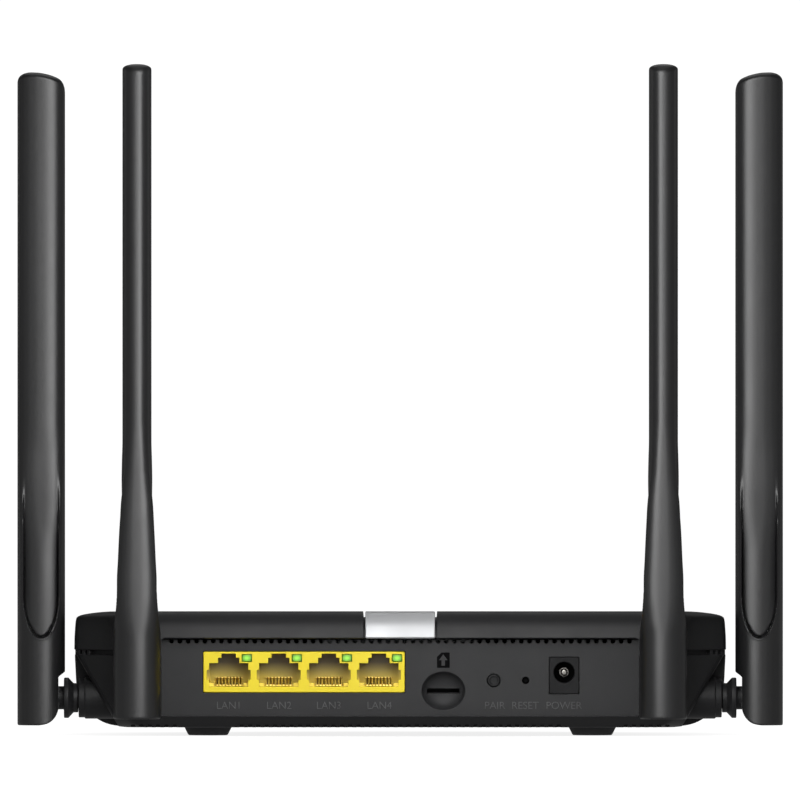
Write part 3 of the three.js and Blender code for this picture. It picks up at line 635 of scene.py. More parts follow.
# -------------------------------------------------------------- bottom shell
def make_bottom_shell():
    side = pchip([2.3, 2.8, 3.6, 5.5, 8, 11, 22.7], [14.3, 10.5, 8.0, 5.0, 2.4, 0.8, 0])
    front = pchip([2.3, 2.8, 3.6, 5.5, 8, 11, 22.7], [9, 6.5, 4.6, 2.6, 1.2, 0.4, 0])
    rear = pchip([2.3, 2.8, 3.6, 5.3, 5.55, 5.8, 22.7], [3.5, 3.0, 2.1, 0.22, 0.05, 0, 0])
    rings = []
    zs = [2.3, 2.36, 2.5, 2.7, 2.95, 3.3, 3.7, 4.2, 4.7, 5.2, 5.4, 5.55, 5.8, 6.3, 7, 7.8, 8.8, 10, 11.5, 13.5, 16, 19,
          22.1, 22.35, 22.53, 22.64, 22.7]
    for z in zs:
        rim = {22.35: 0.03, 22.53: 0.1, 22.64: 0.22, 22.7: 0.4, 2.3: 0.35, 2.36: 0.12}.get(z, 0)
        rings.append(level(z, float(rear(z)) + rim, float(side(z)) + rim, float(front(z)) + rim))
    shell = loft("bottom_shell_visual", rings)
    for s in (-1, 1):
        cut(shell, corner_tool(0, -41.5, s))
    cavity = loft("cavity", [level(z, r, s, f) for z, r, s, f in (
        (4.3, 3.75, 14.5, 10), (5.5, 3.75, 8.5, 5.5), (8, 3.75, 4.6, 3.4), (11, 3.75, 2.9, 2.4), (26.2, 3.75, 2.8, 2.8))])
    for s in (-1, 1):
        cut(cavity, corner_tool(2.32 * 1.0, -39.5, s, 0))
    cut(shell, cavity)
    lip = loft("lip", [level(22.3, 1.95, 1.95, 1.95), level(25.4, 1.95, 1.95, 1.95), level(25.5, 2.05, 2.05, 2.05)])
    cut(lip, loft("lip_in", [level(21.2, 2.8, 2.8, 2.8), level(26.5, 2.8, 2.8, 2.8)]),
        box("lip_rear", -68.7, 68.7, -62, -50, 20, 30), box("lip_front", -22.6, 22.6, 50, 62, 24.3, 30))
    add(shell, lip)
    # ribs that close the seam into a row of slits along the sides
    ribs = []
    for s in (-1, 1):
        for i in range(39):
            y = 40.0 - i * 2.33
            ribs.append(box("rib", min(s * 88.6, s * 90.75), max(s * 88.6, s * 90.75), y - 0.55, y + 0.55, 22.4, 23.82))
        d = np.array([80.2 - 91, -61 + 52], float)
        length = np.linalg.norm(d)
        d /= length
        nrm = np.array([-d[1], d[0]])          # points inwards on the right-hand side
        if nrm[0] > 0:
            nrm = -nrm
        for i in range(3):
            c = np.array([91, -52], float) + d * (1.1 + i * 1.95)
            quad = []
            for a, b in ((-0.5, 0.3), (0.5, 0.3), (0.5, 2.4), (-0.5, 2.4)):
                p = c + d * a + nrm * b
                quad.append((s * p[0], p[1]))
            ribs.append(loft("rib", [[(x, y, 22.4) for x, y in quad], [(x, y, 23.82) for x, y in quad]]))
    for r in ribs:
        tidy(r)
    add(shell, join("ribs", ribs))
    # recess for the rear panel, open above, its lower edge a little rounded
    cut(shell, stack_xz("recess", [(-63, rrect(-66.8, 66.8, 5.42, 40, 0.5)), (-61.02, rrect(-66.8, 66.8, 5.42, 40, 0.5)),
                                   (-60.85, rrect(-66.65, 66.65, 5.48, 40, 0.5)), (-60.7, rrect(-66.6, 66.6, 5.5, 40, 0.5)),
                                   (-56.7, rrect(-66.6, 66.6, 5.5, 40, 0.5))]))
    for s in (-1, 1):
        ax = "X" if s > 0 else "-X"
        add(shell, lathe("boss", fillet([(0, 74), (5.85, 74), (5.85, 87.9), (5.5, 88.15), (5.5, 89.8), (0, 89.8)], [0, 0, 0.25, 0.1, 0.25, 0], 4), 64, ax, (0, -49, 10.5)))
        add(shell, cyl("boss_rear", 4.6, -57.7, -51.4, "Y", (s * 73.3, 0, 12.5), 40))
        cut(shell, lathe("bore", [(0, 70), (3.3, 70), (3.3, 89.5), (3.6, 89.85), (3.6, 95), (0, 95)], 48, ax, (0, -49, 10.5)))
        cut(shell, cyl("face", 4.3, 70, 80.2, ax, (0, -49, 10.5), 40))
        cut(shell, cyl("bore_rear", 3.3, -60.99, -45, "Y", (s * 73.3, 0, 12.5), 48, flare=0.25))
    for x, y in SCREWS:
        add(shell, cyl("pillar", 4.0, 3.4, 21.0, "Z", (x, y, 0), 32))
        cut(shell, lathe("counterbore", [(0, 0), (3.5, 0), (3.5, 2.3), (3.2, 2.6), (3.2, 6.5), (1.75, 6.5), (1.75, 30), (0, 30)], 40, "Z", (x, y, 0)))
    for x, y in PEGS:
        add(shell, lathe("peg", fillet([(0, 3.4), (2.6, 3.4), (2.6, 9.95), (1.2, 9.95), (1.2, 12.6), (0, 12.6)], [0, 0, 0.2, 0, 0.3, 0], 3), 28, "Z", (x, y, 0)))
    for x, y in FEET:
        cut(shell, lathe("foot_seat", [(0, 0), (7.15, 0), (7.15, 2.3), (7.0, 2.45), (7.0, 2.95), (0, 2.95)], 48, "Z", (x, y, 0)))
    # vent slots: a fine row across the rear lower edge, and fields in the floor
    slots = []
    for i in range(-32, 33):
        x = i * 2.33
        if abs(abs(x) - 53.7) > 8.2:
            slots.append(stack_xz("v", [(-61.5, rrect(x - 0.62, x + 0.62, 0.5, 3.15, 0.2, 3)), (-53.6, rrect(x - 0.62, x + 0.62, 0.5, 3.15, 0.2, 3))]))
    cut(shell, join("edge_vents", slots))
    slots = []
    for row, y in enumerate((-22, -6, 10, 26)):
        for i in range(-14, 15):
            x = i * 2.8
            pts = rrect(x - 0.75, x + 0.75, y - 6, y + 6, 0.75, 4)
            slots.append(loft("v", [[(a, b, 1.0) for a, b in pts], [(a, b, 6.0) for a, b in pts]]))
    cut(shell, join("floor_vents", slots))
    tidy(shell, 5e-4)
    return finish(shell, "bottom_shell", "root", "housing_plastic", M["housing"])


# ----------------------------------------------------------------- top cover
def make_top_cover():
    cover = loft("top_cover_visual", cover_rings(0, rim=0.3))
    lower = loft("skirt_in", [level(20, 1.3, 1.3, 1.3), level(27.2, 1.3, 1.3, 1.3)])
    upper = loft("roof_in", [level(27.0, 3.75, 2.0, 2.0), level(31.0, 3.75, 2.2, 2.6, warp=True), level(32.9, 4.9, 2.8, 3.6, warp=True)])
    rib = loft("rib", [[(x, y, cover_z(31.0, y)) for x, y, _ in level(29.6, 0, 0, 0)], [(x, y, cover_z(36, y)) for x, y, _ in level(36, 0, 0, 0)]])
    boolean(rib, box("band", -12.5, 12.5, -70, 70, 20, 40), "INTERSECT")
    cut(upper, rib, box("pad", -12.5, 12.5, -60, -54.3, 28.8, 33))
    cut(cover, lower, upper)
    # window over the rear panel, its upper edge rounded
    R = 27.1
    lip = []
    for k in range(7):
        a = k / 6 * math.pi / 2
        d = 0.62 * (1 - math.sin(a))
        lip.append((-60.98 + 0.62 * (1 - math.cos(a)), rrect(-66.6 - d / 2, 66.6 + d / 2, 15, R + d, 1.0 + d)))
    cut(cover, stack_xz("window", [(-63, lip[0][1])] + lip + [(-56.2, rrect(-66.6, 66.6, 15, R, 1.0))]))
    for s in (-1, 1):
        add(cover, box("return", min(s * 66.6, s * 67.9), max(s * 66.6, s * 67.9), -60.8, -57.25, 23.92, 27.9))
    channel = loft("channel", cover_rings(-1))
    cut(channel, loft("channel_in", cover_rings(1.65, 20)))
    boolean(channel, box("channel_band", -10.3, 10.3, -70, 70, 26, 40), "INTERSECT")
    cut(channel, box("channel_front", -20, 20, 30, 70, 20, 29.2))
    cut(cover, channel)
    for x, y in SCREWS:
        add(cover, cyl("screw_boss", 3.5, 21.1, cover_z(34.0, y), "Z", (x, y, 0), 28))
        cut(cover, cyl("screw_hole", 1.75, 20, 28.2, "Z", (x, y, 0), 20))
    win = rrect(-20, 20, 25.2, 27.0, 0.5)
    cut(cover, stack_xz("guide_window", [(50, win), (60.55, win), (60.8, rrect(-20.2, 20.2, 25.0, 27.2, 0.6)), (64, rrect(-20.2, 20.2, 25.0, 27.2, 0.6))]))
    tidy(cover, 5e-4)
    return finish(cover, "top_cover", "root", "housing_plastic", M["housing"])


# ---------------------------------------------------------------- trim strip
def make_strip():
    """The strip follows the cover's profile over the lip and the roof."""
    levels = cover_levels(46)
    rear, front = [], []
    for z, r, s, f in levels:
        rear.append((-61 + r + 0.02, cover_z(z - (0.02 if z > 30 else 0), -61 + r + 0.02)))
        front.append((61 - f - 0.02, cover_z(z - (0.02 if z > 30 else 0), 61 - f - 0.02)))
    outer = [p for p in rear if p[1] >= 27.25] + [p for p in reversed(front) if p[1] >= 29.5]
    first = (float(np.interp(27.2, [p[1] for p in rear], [p[0] for p in rear])), 27.2)
    outer = [first] + [p for p in outer if p[1] > 27.21]
    last = (float(np.interp(29.5, [p[1] for p in front], [p[0] for p in front])), 29.5)
    outer.append(last)
    pts = [outer[0]]
    for p in outer[1:]:
        gap = math.dist(pts[-1], p)
        if gap > 6:
            for k in range(1, int(gap // 5) + 1):
                q = k / (int(gap // 5) + 1)
                pts.append((pts[-1][0] * 1.0 + (p[0] - pts[-1][0]) * q, pts[-1][1] + (p[1] - pts[-1][1]) * q) if k == 1 else
                           (a0[0] + (p[0] - a0[0]) * q, a0[1] + (p[1] - a0[1]) * q))
                if k == 1:
                    a0 = pts[-2]
        if math.dist(pts[-1], p) > 0.02:
            pts.append(p)
    P = np.array(pts)
    tan = np.gradient(P, axis=0)
    tan /= np.linalg.norm(tan, axis=1)[:, None]
    inward = np.stack([tan[:, 1], -tan[:, 0]], axis=1)
    # section: a slim rounded bar
    half, thick = 9.73, 1.55
    sec = fillet([(-half, 0.0), (half, 0.0), (half, thick), (-half, thick)], [0.3, 0.3, 0.15, 0.15], 4)
    rings = []
    n = len(P)
    for k in range(n):
        endk = min(k, n - 1 - k)
        ring = []
        for x, t in sec:
            tt = max(t, 0)
            if endk == 0:
                tt = 0.3 + (tt / thick) * (thick - 0.4)
                x = x * (half - 0.22) / half
            y, z = P[k] + inward[k] * tt
            if endk == 0 and k == 0:
                z = max(z, 27.2)
            ring.append((x, y, z))
        rings.append(ring)
    strip = loft("trim_strip_visual", rings)
    return finish(strip, "top_trim_strip", "root", "trim_silver", M["silver"], angle=40)


# ---------------------------------------------------------------- rear panel
PANEL_Y = -57.2
SIM_X, SIM_Z, SLOT_Z = 12.05, 12.5, 12.4
PAIR_X, RESET_X, BUTTON_Z = 26.1, 35.0, 15.4
JACK_X = 45.75


def make_panel():
    panel = rounded_block("rear_panel_visual", -68.3, 68.3, PANEL_Y, PANEL_Y + 1.8, 4.35, 28.4, 0.5, 0.2)
    cup = []
    for y, k in ((PANEL_Y + 0.9, 1.0), (PANEL_Y + 3.0, 0.98), (PANEL_Y + 3.9, 0.88)):
        cup.append((y, [(SIM_X + 6.9 * k * math.cos(a), SIM_Z + 6.2 * k * math.sin(a)) for a in np.linspace(0, 2 * math.pi, 48, endpoint=False)]))
    add(panel, stack_xz("cup", cup))
    # the finger dish: a bowl with a soft rim, deepest along the slot
    secs = []
    angles = np.linspace(0, 2 * math.pi, 72, endpoint=False)
    for y, k in ((-1.2, 1.045), (-0.001, 1.045), (0.03, 1.02), (0.1, 1.004), (0.22, 0.992), (0.5, 0.975), (0.9, 0.95), (1.35, 0.905), (1.8, 0.84),
                 (2.2, 0.75), (2.5, 0.64), (2.72, 0.5), (2.86, 0.36), (2.94, 0.22), (2.98, 0.1)):
        secs.append((PANEL_Y + y, [(SIM_X + 6.0 * k * math.cos(a), SIM_Z + 5.3 * k * math.sin(a) - (0.1 * (1 - k))) for a in angles]))
    cut(panel, stack_xz("dish", secs))
    cut(panel, mouth("slot", lambda d: rrect(SIM_X - 4.5 - d, SIM_X + 4.5 + d, SLOT_Z - 0.76 - d, SLOT_Z + 0.76 + d, 0.3), PANEL_Y + 2.6, PANEL_Y + 6, 0.12, front=0.6))
    cut(panel, mouth("port_window", lambda d: rrect(-55.05 - d, 1.41 + d, 11.95 - d, 23.59 + d, 0.35 + d), PANEL_Y, -52, 0.12))
    cut(panel, mouth("jack_window", lambda d: rrect(JACK_X - 4.23 - d, JACK_X + 4.23 + d, 11.57 - d, 21.98 + d, 0.3 + d), PANEL_Y, -52, 0.12))
    cut(panel, cyl("pair_hole", 1.86, PANEL_Y, -54, "Y", (PAIR_X, 0, BUTTON_Z), 48, flare=0.18))
    cut(panel, cyl("reset_hole", 1.0, PANEL_Y, -54, "Y", (RESET_X, 0, BUTTON_Z), 36, flare=0.15))
    holes = [cyl("h", 0.64, PANEL_Y, -54, "Y", (-63.8 + i * 2.3236, 0, 26.38), 16, flare=0.1) for i in range(56)]
    cut(panel, join("vents", holes))
    cut(panel, box("slit", -66.55, 66.55, PANEL_Y - 1, PANEL_Y + 1.3, 26.78, 27.45))
    tidy(panel, 5e-4)
    return finish(panel, "rear_panel", "root", "panel_plastic", M["panel"])


def outline_piece(name, splines, y, depth, mat, bevel=0.02):
    """Flat raised mark on the panel from closed outlines; inner ones are holes."""
    cu = bpy.data.curves.new(name, "CURVE")
    cu.dimensions = "2D"
    cu.fill_mode = "BOTH"
    cu.extrude = depth / 2
    cu.bevel_depth = bevel
    cu.bevel_resolution = 1
    for pts in splines:
        sp = cu.splines.new("POLY")
        sp.points.add(len(pts) - 1)
        for p, (x, z) in zip(sp.points, pts):
            p.co = (x, z, 0, 1)
        sp.use_cyclic_u = True
    return curve_piece(name, cu, y)


def curve_piece(name, cu, y, x=0.0, z=0.0):
    o = bpy.data.objects.new(name + "_curve", cu)
    scene.collection.objects.link(o)
    bpy.context.view_layer.update()
    dg = bpy.context.evaluated_depsgraph_get()
    me = bpy.data.meshes.new_from_object(o.evaluated_get(dg))
    bpy.data.objects.remove(o)
    me.transform(Matrix.Translation((x, y, z)) @ Matrix.Rotation(math.pi / 2, 4, "X"))
    out = bpy.data.objects.new(name, me)
    scene.collection.objects.link(out)
    return out


def make_marks():
    """Generic lettering under the sockets and a card symbol over the slot."""
    parts = []
    for text, x in (("LAN1", -47.8), ("LAN2", -33.8), ("LAN3", -19.9), ("LAN4", -5.8), ("PAIR", 26.4), ("RESET", 34.9), ("POWER", 45.7)):
        cu = bpy.data.curves.new("label_" + text.lower(), "FONT")
        cu.body = text
        cu.size = 2.95
        cu.align_x = "CENTER"
        cu.align_y = "CENTER"
        cu.extrude = 0.10
        cu.offset = -0.075
        cu.bevel_depth = 0.05
        cu.bevel_resolution = 1
        cu.space_character = 0.98
        cu.resolution_u = 6
        parts.append(curve_piece("t", cu, PANEL_Y - 0.02, x, 8.35))
    labels = join("panel_lettering", parts)
    tidy(labels, 2e-4)
    finish(labels, None, "root", "panel_plastic", M["letters"], angle=40)
    x0, x1, z0, z1 = 10.27, 13.8, 18.95, 23.2
    card = [(x0, z0), (x1, z0), (x1, z1), (x0 + 1.25, z1), (x0, z1 - 1.25)]
    cx = (x0 + x1) / 2 - 0.02
    arrow = [(cx - 0.5, z0 + 0.55), (cx + 0.5, z0 + 0.55), (cx + 0.5, z0 + 2.1), (cx + 1.25, z0 + 2.1), (cx, z0 + 3.8),
             (cx - 1.25, z0 + 2.1), (cx - 0.5, z0 + 2.1)]
    icon = outline_piece("card_symbol", [fillet(card, 0.18, 3), fillet(arrow, 0.05, 2)], PANEL_Y - 0.012, 0.05, None, 0.012)
    tidy(icon, 1e-4)
    finish(icon, None, "root", "panel_plastic", M["dark"], angle=40)


# ---------------------------------------------------------------- port block
PORTS = [-47.85, -33.88, -19.91, -5.94]


def socket_outline(x, d):
    return [(x - 5.45 - d, 13.71 - d), (x + 5.45 + d, 13.71 - d), (x + 5.45 + d, 20.22 + d), (x + 2.965 + d, 20.22 + d),
            (x + 2.965 + d, 21.72 + d), (x + 2.0 + d, 21.72 + d), (x + 2.0 + d, 22.89 + d), (x - 2.0 - d, 22.89 + d),
            (x - 2.0 - d, 21.72 + d), (x - 2.965 - d, 21.72 + d), (x - 2.965 - d, 20.22 + d), (x - 5.45 - d, 20.22 + d)]


def make_port_block():
    b = rounded_block("lan_port_block_visual", -54.9, 1.26, -57.4, -38.4, 12.1, 23.44, 0.35, 0.22, 0.2)
    add(b, box("foot", -54.6, 0.96, -54.6, -38.6, 11.65, 12.6))
    for x in PORTS:
        cut(b, mouth("socket", lambda d: socket_outline(x, d), -57.4, -43.6, 0.14))
        cut(b, mouth("notch", lambda d: rrect(x - 6.1 - d, x + 6.1 + d, 15.57 - d, 18.35 + d, 0.15), -57.4, -51.5, 0.12))
        cut(b, mouth("lens_seat", lambda d: rrect(x + 3.61 - d, x + 6.51 + d, 20.56 - d, 22.76 + d, 0.25), -57.4, -51.0, 0.08))
        # a ledge on each side of the contacts
        comb = [box("ledge", x - 5.5, x - 4.15, -53.4, -43.5, 13.6, 14.75), box("ledge", x + 4.15, x + 5.5, -53.4, -43.5, 13.6, 14.75)]
        for c in comb:
            add(b, c)
    tidy(b, 5e-4)
    return finish(b, "lan_port_block", "root", "port_yellow", M["yellow"])


def sweep(name, path, half_w, half_t, x):
    """Flat spring wire with rounded corners along a path in the YZ plane."""
    P = np.array(path, float)
    tan = np.gradient(P, axis=0)
    tan /= np.linalg.norm(tan, axis=1)[:, None]
    nor = np.stack([-tan[:, 1], tan[:, 0]], axis=1)
    sec = fillet([(-half_w, -half_t), (half_w, -half_t), (half_w, half_t), (-half_w, half_t)], 0.08, 2)
    rings = []
    for k in range(len(P)):
        rings.append([(x + a, P[k][0] + nor[k][0] * b, P[k][1] + nor[k][1] * b) for a, b in sec])
    return loft(name, rings)


def make_contacts(i, x):
    carrier = rounded_block("carrier", x - 3.9, x + 3.9, -44.5, -44.0, 15.92, 16.3, 0.12, 0.08)
    wires = []
    fy = pchip([-55.15, -54.6, -50, -46.4, -44.2], [14.08, 13.98, 15.0, 16.05, 16.1])
    path = [(y, float(fy(y))) for y in np.linspace(-55.15, -44.2, 18)]
    for k in range(8):
        wires.append(sweep("w", path, 0.22, 0.13, x + (k - 3.5) * 0.92))
    o = carrier
    add(o, join("wires", wires))
    tidy(o, 2e-4)
    o.name = f"lan_port_{i}_contacts_visual"
    return finish(o, f"lan_port_{i}_contacts", "root", "contact_gold", M["gold"])


def make_lens(i, x):
    o = rounded_block(f"lan_port_{i}_led_lens_visual", x + 3.68, x + 6.44, -57.3, -51.1, 20.63, 22.69, 0.3, 0.28)
    return finish(o, f"lan_port_{i}_led_lens", "root", "lens_green", M["lens"], angle=50)


def make_jack():
    j = rounded_block("dc_inlet_visual", JACK_X - 4.15, JACK_X + 4.15, -57.4, -44, 11.65, 21.9, 0.3, 0.22, 0.2)
    cut(j, lathe("bore", [(0, -59), (3.1, -59), (3.1, -57.4), (2.98, -57.34), (2.88, -57.2), (2.84, -56.9), (2.84, -47), (1.3, -47), (1.3, -40), (0, -40)], 64, "Y", (JACK_X, 0, 17.66)))
    finish(j, "dc_inlet", "root", "port_black", M["jack"])
    pin = lathe("dc_inlet_pin_visual", fillet([(0, -55.6), (0.98, -55.6), (0.98, -43.7), (1.8, -43.7), (1.8, -43.2), (0, -43.2)], [0, 0.93, 0, 0.1, 0.1, 0], 8, closed=False), 40, "Y", (JACK_X, 0, 17.66))
    finish(pin, "dc_inlet_pin", "root", "plated_metal", M["pin"])


def make_buttons():
    b = lathe("pair_button_visual", fillet([(0, -57.62), (0.95, -57.60), (1.25, -57.75), (1.7, -57.75), (1.7, -55.25), (2.45, -55.25), (2.45, -54.5), (1.0, -54.5), (1.0, -53.0), (0, -53.0)],
                                           [0, 0.3, 0.2, 0.38, 0, 0.1, 0.1, 0, 0.1, 0], 4, closed=False), 56, "Y", (PAIR_X, 0, BUTTON_Z))
    finish(b, "pair_button", "pair_button", "button_plastic", M["button"])
    r = lathe("reset_plunger_visual", fillet([(0, -56.3), (0.7, -56.3), (0.7, -55.25), (1.6, -55.25), (1.6, -54.5), (0.9, -54.5), (0.9, -53.0), (0, -53.0)],
                                             [0, 0.25, 0, 0.1, 0.1, 0, 0.1, 0], 4, closed=False), 40, "Y", (RESET_X, 0, BUTTON_Z))
    # painted shade: the plunger takes the near-black ink finish so its hole reads as shaded
    finish(r, "reset_plunger", "reset_plunger", "button_plastic", M["dark"])


def make_guide():
    g = rounded_block("light_guide_bar", -19.7, 19.7, 56.5, 60.7, 25.5, 26.7, 0.3, 0.1, 0.25)
    add(g, box("flange", -22, 22, 56.6, 58.5, 24.9, 26.9))
    tidy(g)
    finish(g, "indicator_light_guide", "root", "clear_plastic", M["clear"])


def make_screws():
    prof = fillet([(0, 5.2), (1.6, 4.62), (2.3, 4.62), (2.7, 5.0), (2.7, 6.4), (1.4, 6.4), (1.4, 26.5), (0.4, 27.6), (0, 27.6)], [0, 0, 0.3, 0.2, 0.1, 0, 0.2, 0, 0], 3, closed=False)
    prof = [(0, 4.62)] + [p for p in prof if p[0] > 1.5 or p[1] > 6]
    for i, (x, y) in enumerate(SCREWS):
        s = lathe(f"housing_screw_{i + 1}_visual", prof, 36, "Z", (x, y, 0))
        for ang in (0, math.pi / 2):
            m = Matrix.Translation((x, y, 0)) @ Matrix.Rotation(ang + 0.4 * i, 4, "Z")
            q = [m @ Vector(v) for v in ((-1.45, -0.24, 4.0), (1.45, -0.24, 4.0), (1.45, 0.24, 4.0), (-1.45, 0.24, 4.0),
                                         (-0.7, -0.2, 5.7), (0.7, -0.2, 5.7), (0.7, 0.2, 5.7), (-0.7, 0.2, 5.7))]
            cut(s, obj("cross", q, [(0, 3, 2, 1), (4, 5, 6, 7), (0, 1, 5, 4), (1, 2, 6, 5), (2, 3, 7, 6), (3, 0, 4, 7)]))
        tidy(s, 3e-4)
        finish(s, f"housing_screw_{i + 1}", "root", "plated_metal", M["metal"])


def make_feet():
    prof = fillet([(0, 0.12), (3.6, 0.12), (3.9, 0.0), (5.3, 0.0), (5.6, 0.25), (6.65, 2.3), (6.65, 2.9), (0, 2.9)], [0, 0.1, 0.1, 0.15, 0.2, 0.15, 0.05, 0], 4, closed=False)
    for i, (x, y) in enumerate(FEET):
        f = lathe(f"rubber_foot_{i + 1}_visual", prof, 72, "Z", (x, y, 0))
        finish(f, f"rubber_foot_{i + 1}", "root", "foot_rubber", M["rubber"])


# ------------------------------------------------------------------ antennas
CU, HALF_U = 1.85, 6.65
SCOOP_U = 1.87


def make_antenna_mesh():
    T = pchip([-9, 15.5, 22.3, 31, 36.5, 42.1, 47.7, 53.3, 58.8, 64.4, 70, 76, 178],
              [6.6, 6.6, 6.72, 6.7, 6.38, 6.08, 5.75, 5.45, 5.2, 4.95, 4.5, 4.05, 4.05])
    power = pchip([-9, 14, 20, 27, 58, 76, 178], [2.15, 2.15, 2.6, 3.0, 3.0, 2.5, 2.5])
    bed_t = pchip([-9, 44, 53.3, 58.8, 64.4, 70, 178], [4.05, 4.05, 4.2, 4.28, 4.19, 4.05, 4.05])
    bed_n = pchip([-9, 40, 56, 62, 78, 178], [2.1, 2.1, 3.0, 3.0, 2.5, 2.5])
    umax = pchip([-7.67, -7.45, -7.1, -6.2, -4.7, -2.9, 5.6, 5.75, 7.2, 7.4, 180], [1.6, 2.8, 3.85, 5.1, 6.12, 6.6, 6.6, 6.66, 8.36, 8.5, 8.5])
    top = pchip([-4.8, -4.62, -4.3, -3.4, -2.4, -1.2, 0.8, 3.6, 6.2, 7.1, 7.75, 8.2, 8.42, 8.5],
                [172.0, 172.75, 173.35, 174.12, 174.5, 174.68, 174.62, 174.12, 173.2, 172.65, 171.9, 170.9, 170.0, 169.0])

    def outer(du, t, n=2.5):
        x = np.clip(np.abs(du) / HALF_U, 0, 1)
        return t * (1 - x ** n) ** (1 / n)

    # columns: distance from the middle of the section, from +u round to -u
    ends = [HALF_U * max(math.cos(a), 0) ** 0.8 for a in np.linspace(0, 0.66, 12)]
    fine = list(np.arange(5.30, 2.9, -0.13))
    ends = [e for e in ends if e > 5.45]
    mid = list(np.arange(2.6, -0.01, -0.43))
    right = ends + fine + mid
    cols = right + [-c for c in reversed(right) if c > 0.02]
    ring_cols = [(c, 1) for c in cols] + [(c, -1) for c in reversed(cols[1:-1])]
    du = np.array([c for c, s in ring_cols])
    sg = np.array([s for c, s in ring_cols], float)

    def scoop(u, w):
        """Distance inside the U-shaped outline, along u and w."""
        x = np.abs(u - SCOOP_U)
        b, R, H = 28.6, 11.9, 4.9
        d_side = H - x
        F = np.sqrt((x / H) ** 2 + ((b - w) / R) ** 2) + 1e-9
        g = np.sqrt((x / H ** 2) ** 2 + ((b - w) / R ** 2) ** 2) / F + 1e-9
        return np.where(w < b, (1 - F) / g, d_side)

    def section(w, inset=0.0, crown=None):
        t, n = float(T(w)) - inset, float(power(w))
        scale = (HALF_U - inset) / HALF_U
        u = CU + du * scale
        v = outer(du, t, n)
        if 15.5 < w < 76:
            d = scoop(u, w)
            bed = outer(du, float(bed_t(w)), float(bed_n(w)))
            floor = np.minimum(bed, v)
            soft = 0.17 + 0.6 * float(smooth((w - 44) / 24))
            s = smooth((d + soft) / (2 * soft))
            v = v + (floor - v) * s
            fade = 1 - float(smooth((w - 36) / 24))
            toe = float(smooth((24 - w) / 6))
            v = v - (0.22 + 0.4 * toe) * fade * np.exp(-((d - 0.16 - 0.12 * toe) / (0.16 + 0.09 * toe)) ** 2)
            v = v + 0.06 * fade * np.exp(-((d + 0.42) / 0.22) ** 2)
            v = v + (np.minimum(bed, v) - v) * float(smooth((w - 52) / 13))
        um = float(umax(w)) - inset
        over = u > um
        if over.any():
            lim = outer(np.array([(um - CU) / scale]), t, n)[0]
            v = np.where(over, lim * np.clip(outer(du, t, n) / max(lim, 1e-6), 0, 1), v)
            u = np.minimum(u, um)
        return u, v

    rings = []
    low = [(-7.67, 0.42), (-7.62, 0.22), (-7.5, 0.09), (-7.3, 0.02), (-7.1, 0), (-6.8, 0), (-6.4, 0), (-6.0, 0), (-5.5, 0), (-5.0, 0), (-4.4, 0), (-3.8, 0),
           (-3.2, 0), (-2.8, 0), (-1, 0), (2, 0), (5.0, 0), (5.6, 0), (5.7, 0), (5.8, 0), (6.2, 0), (6.7, 0), (7.1, 0), (7.25, 0), (7.4, 0), (7.6, 0), (9, 0), (12, 0), (14.5, 0)]
    ws = low + [(w, 0) for w in np.arange(15.9, 28.6, 0.16)] + [(w, 0) for w in np.arange(28.8, 78, 1.1)] + [(w, 0) for w in (80, 95, 110, 125, 140, 152, 160)]
    for w, ins in ws:
        u, v = section(float(w), ins)
        rings.append([(a, s * b, w) for a, b, s in zip(u, v, sg)])
    u0 = CU + du
    H = top(u0)
    for h in (9.5, 6.5, 4.2, 2.8, 2.0, 1.45, 1.15, 0.88, 0.64, 0.44, 0.28, 0.16, 0.07, 0.018, 0.0):
        hh = h * (H - 160) / 14.7
        w = H - hh
        c = np.where(hh >= 1.45, 1.0, (1 - np.clip((1.45 - hh) / 1.45, 0, 1) ** 2.3) ** (1 / 2.3))
        v = outer(du, 4.05) * c
        rings.append([(a, s * b, ww) for a, b, s, ww in zip(u0, v, sg, w)])
    a = loft("antenna_mesh", rings, cap1=False, dist=3e-4)
    # slot for the post's tongue, channel for the lead, and the pin's blind holes
    slot = prism_xz("slot", fillet([(-3.75, -20), (20, -20), (20, 3.95), (-3.75, 3.95)], [0, 0, 0, 1.2], 6), -3.4, 3.4)
    cut(a, slot, box("channel", -1.6, 5.3, -1.5, 1.5, 3, 166), cyl("pin_hole", 1.4, -5.4, 5.4, "Y", (0, 0, 0), 32))
    tidy(a, 3e-4)
    me = a.data
    bpy.data.objects.remove(a)
    return me


def make_post_mesh():
    prof = fillet([(0, 6.4), (3.25, 6.4), (3.25, 8.2), (5.65, 8.2), (5.65, 9.45), (4.1, 10.9), (4.1, 12.2), (3.0, 12.2), (3.0, 22.05),
                   (3.8, 22.05), (3.8, 22.3), (3.0, 23.1), (1.1, 23.1), (1.1, 11.0), (0, 11.0)],
                  [0, 0, 0.2, 0.3, 0.3, 0.25, 0.25, 0, 0, 0.05, 0.1, 0.1, 0.1, 0, 0], 4, closed=False)
    p = lathe("post_mesh", prof, 72, "X", (0, 0, 0))
    arc = [(3.55 * math.cos(a), 3.55 * math.sin(a)) for a in np.linspace(math.pi / 2, 3 * math.pi / 2, 25)]
    pts = arc + [(6.9, -3.1), (6.9, 3.1)]
    secs = []
    for k in range(5):
        a = k / 4 * math.pi / 2
        d = 0.3 * (1 - math.sin(a))
        secs.append((-3.0 + 0.3 * (1 - math.cos(a)), [(x * (3.55 - d) / 3.55 if x < 4 else x, z * (3.55 - d) / 3.55) for x, z in pts]))
    secs += [(-y, pp) for y, pp in reversed(secs)]
    add(p, stack_xz("tongue", secs))
    cut(p, cyl("pin_hole", 1.4, -8, 8, "Y", (0, 0, 0), 32))
    tidy(p, 3e-4)
    me = p.data
    bpy.data.objects.remove(p)
    return me


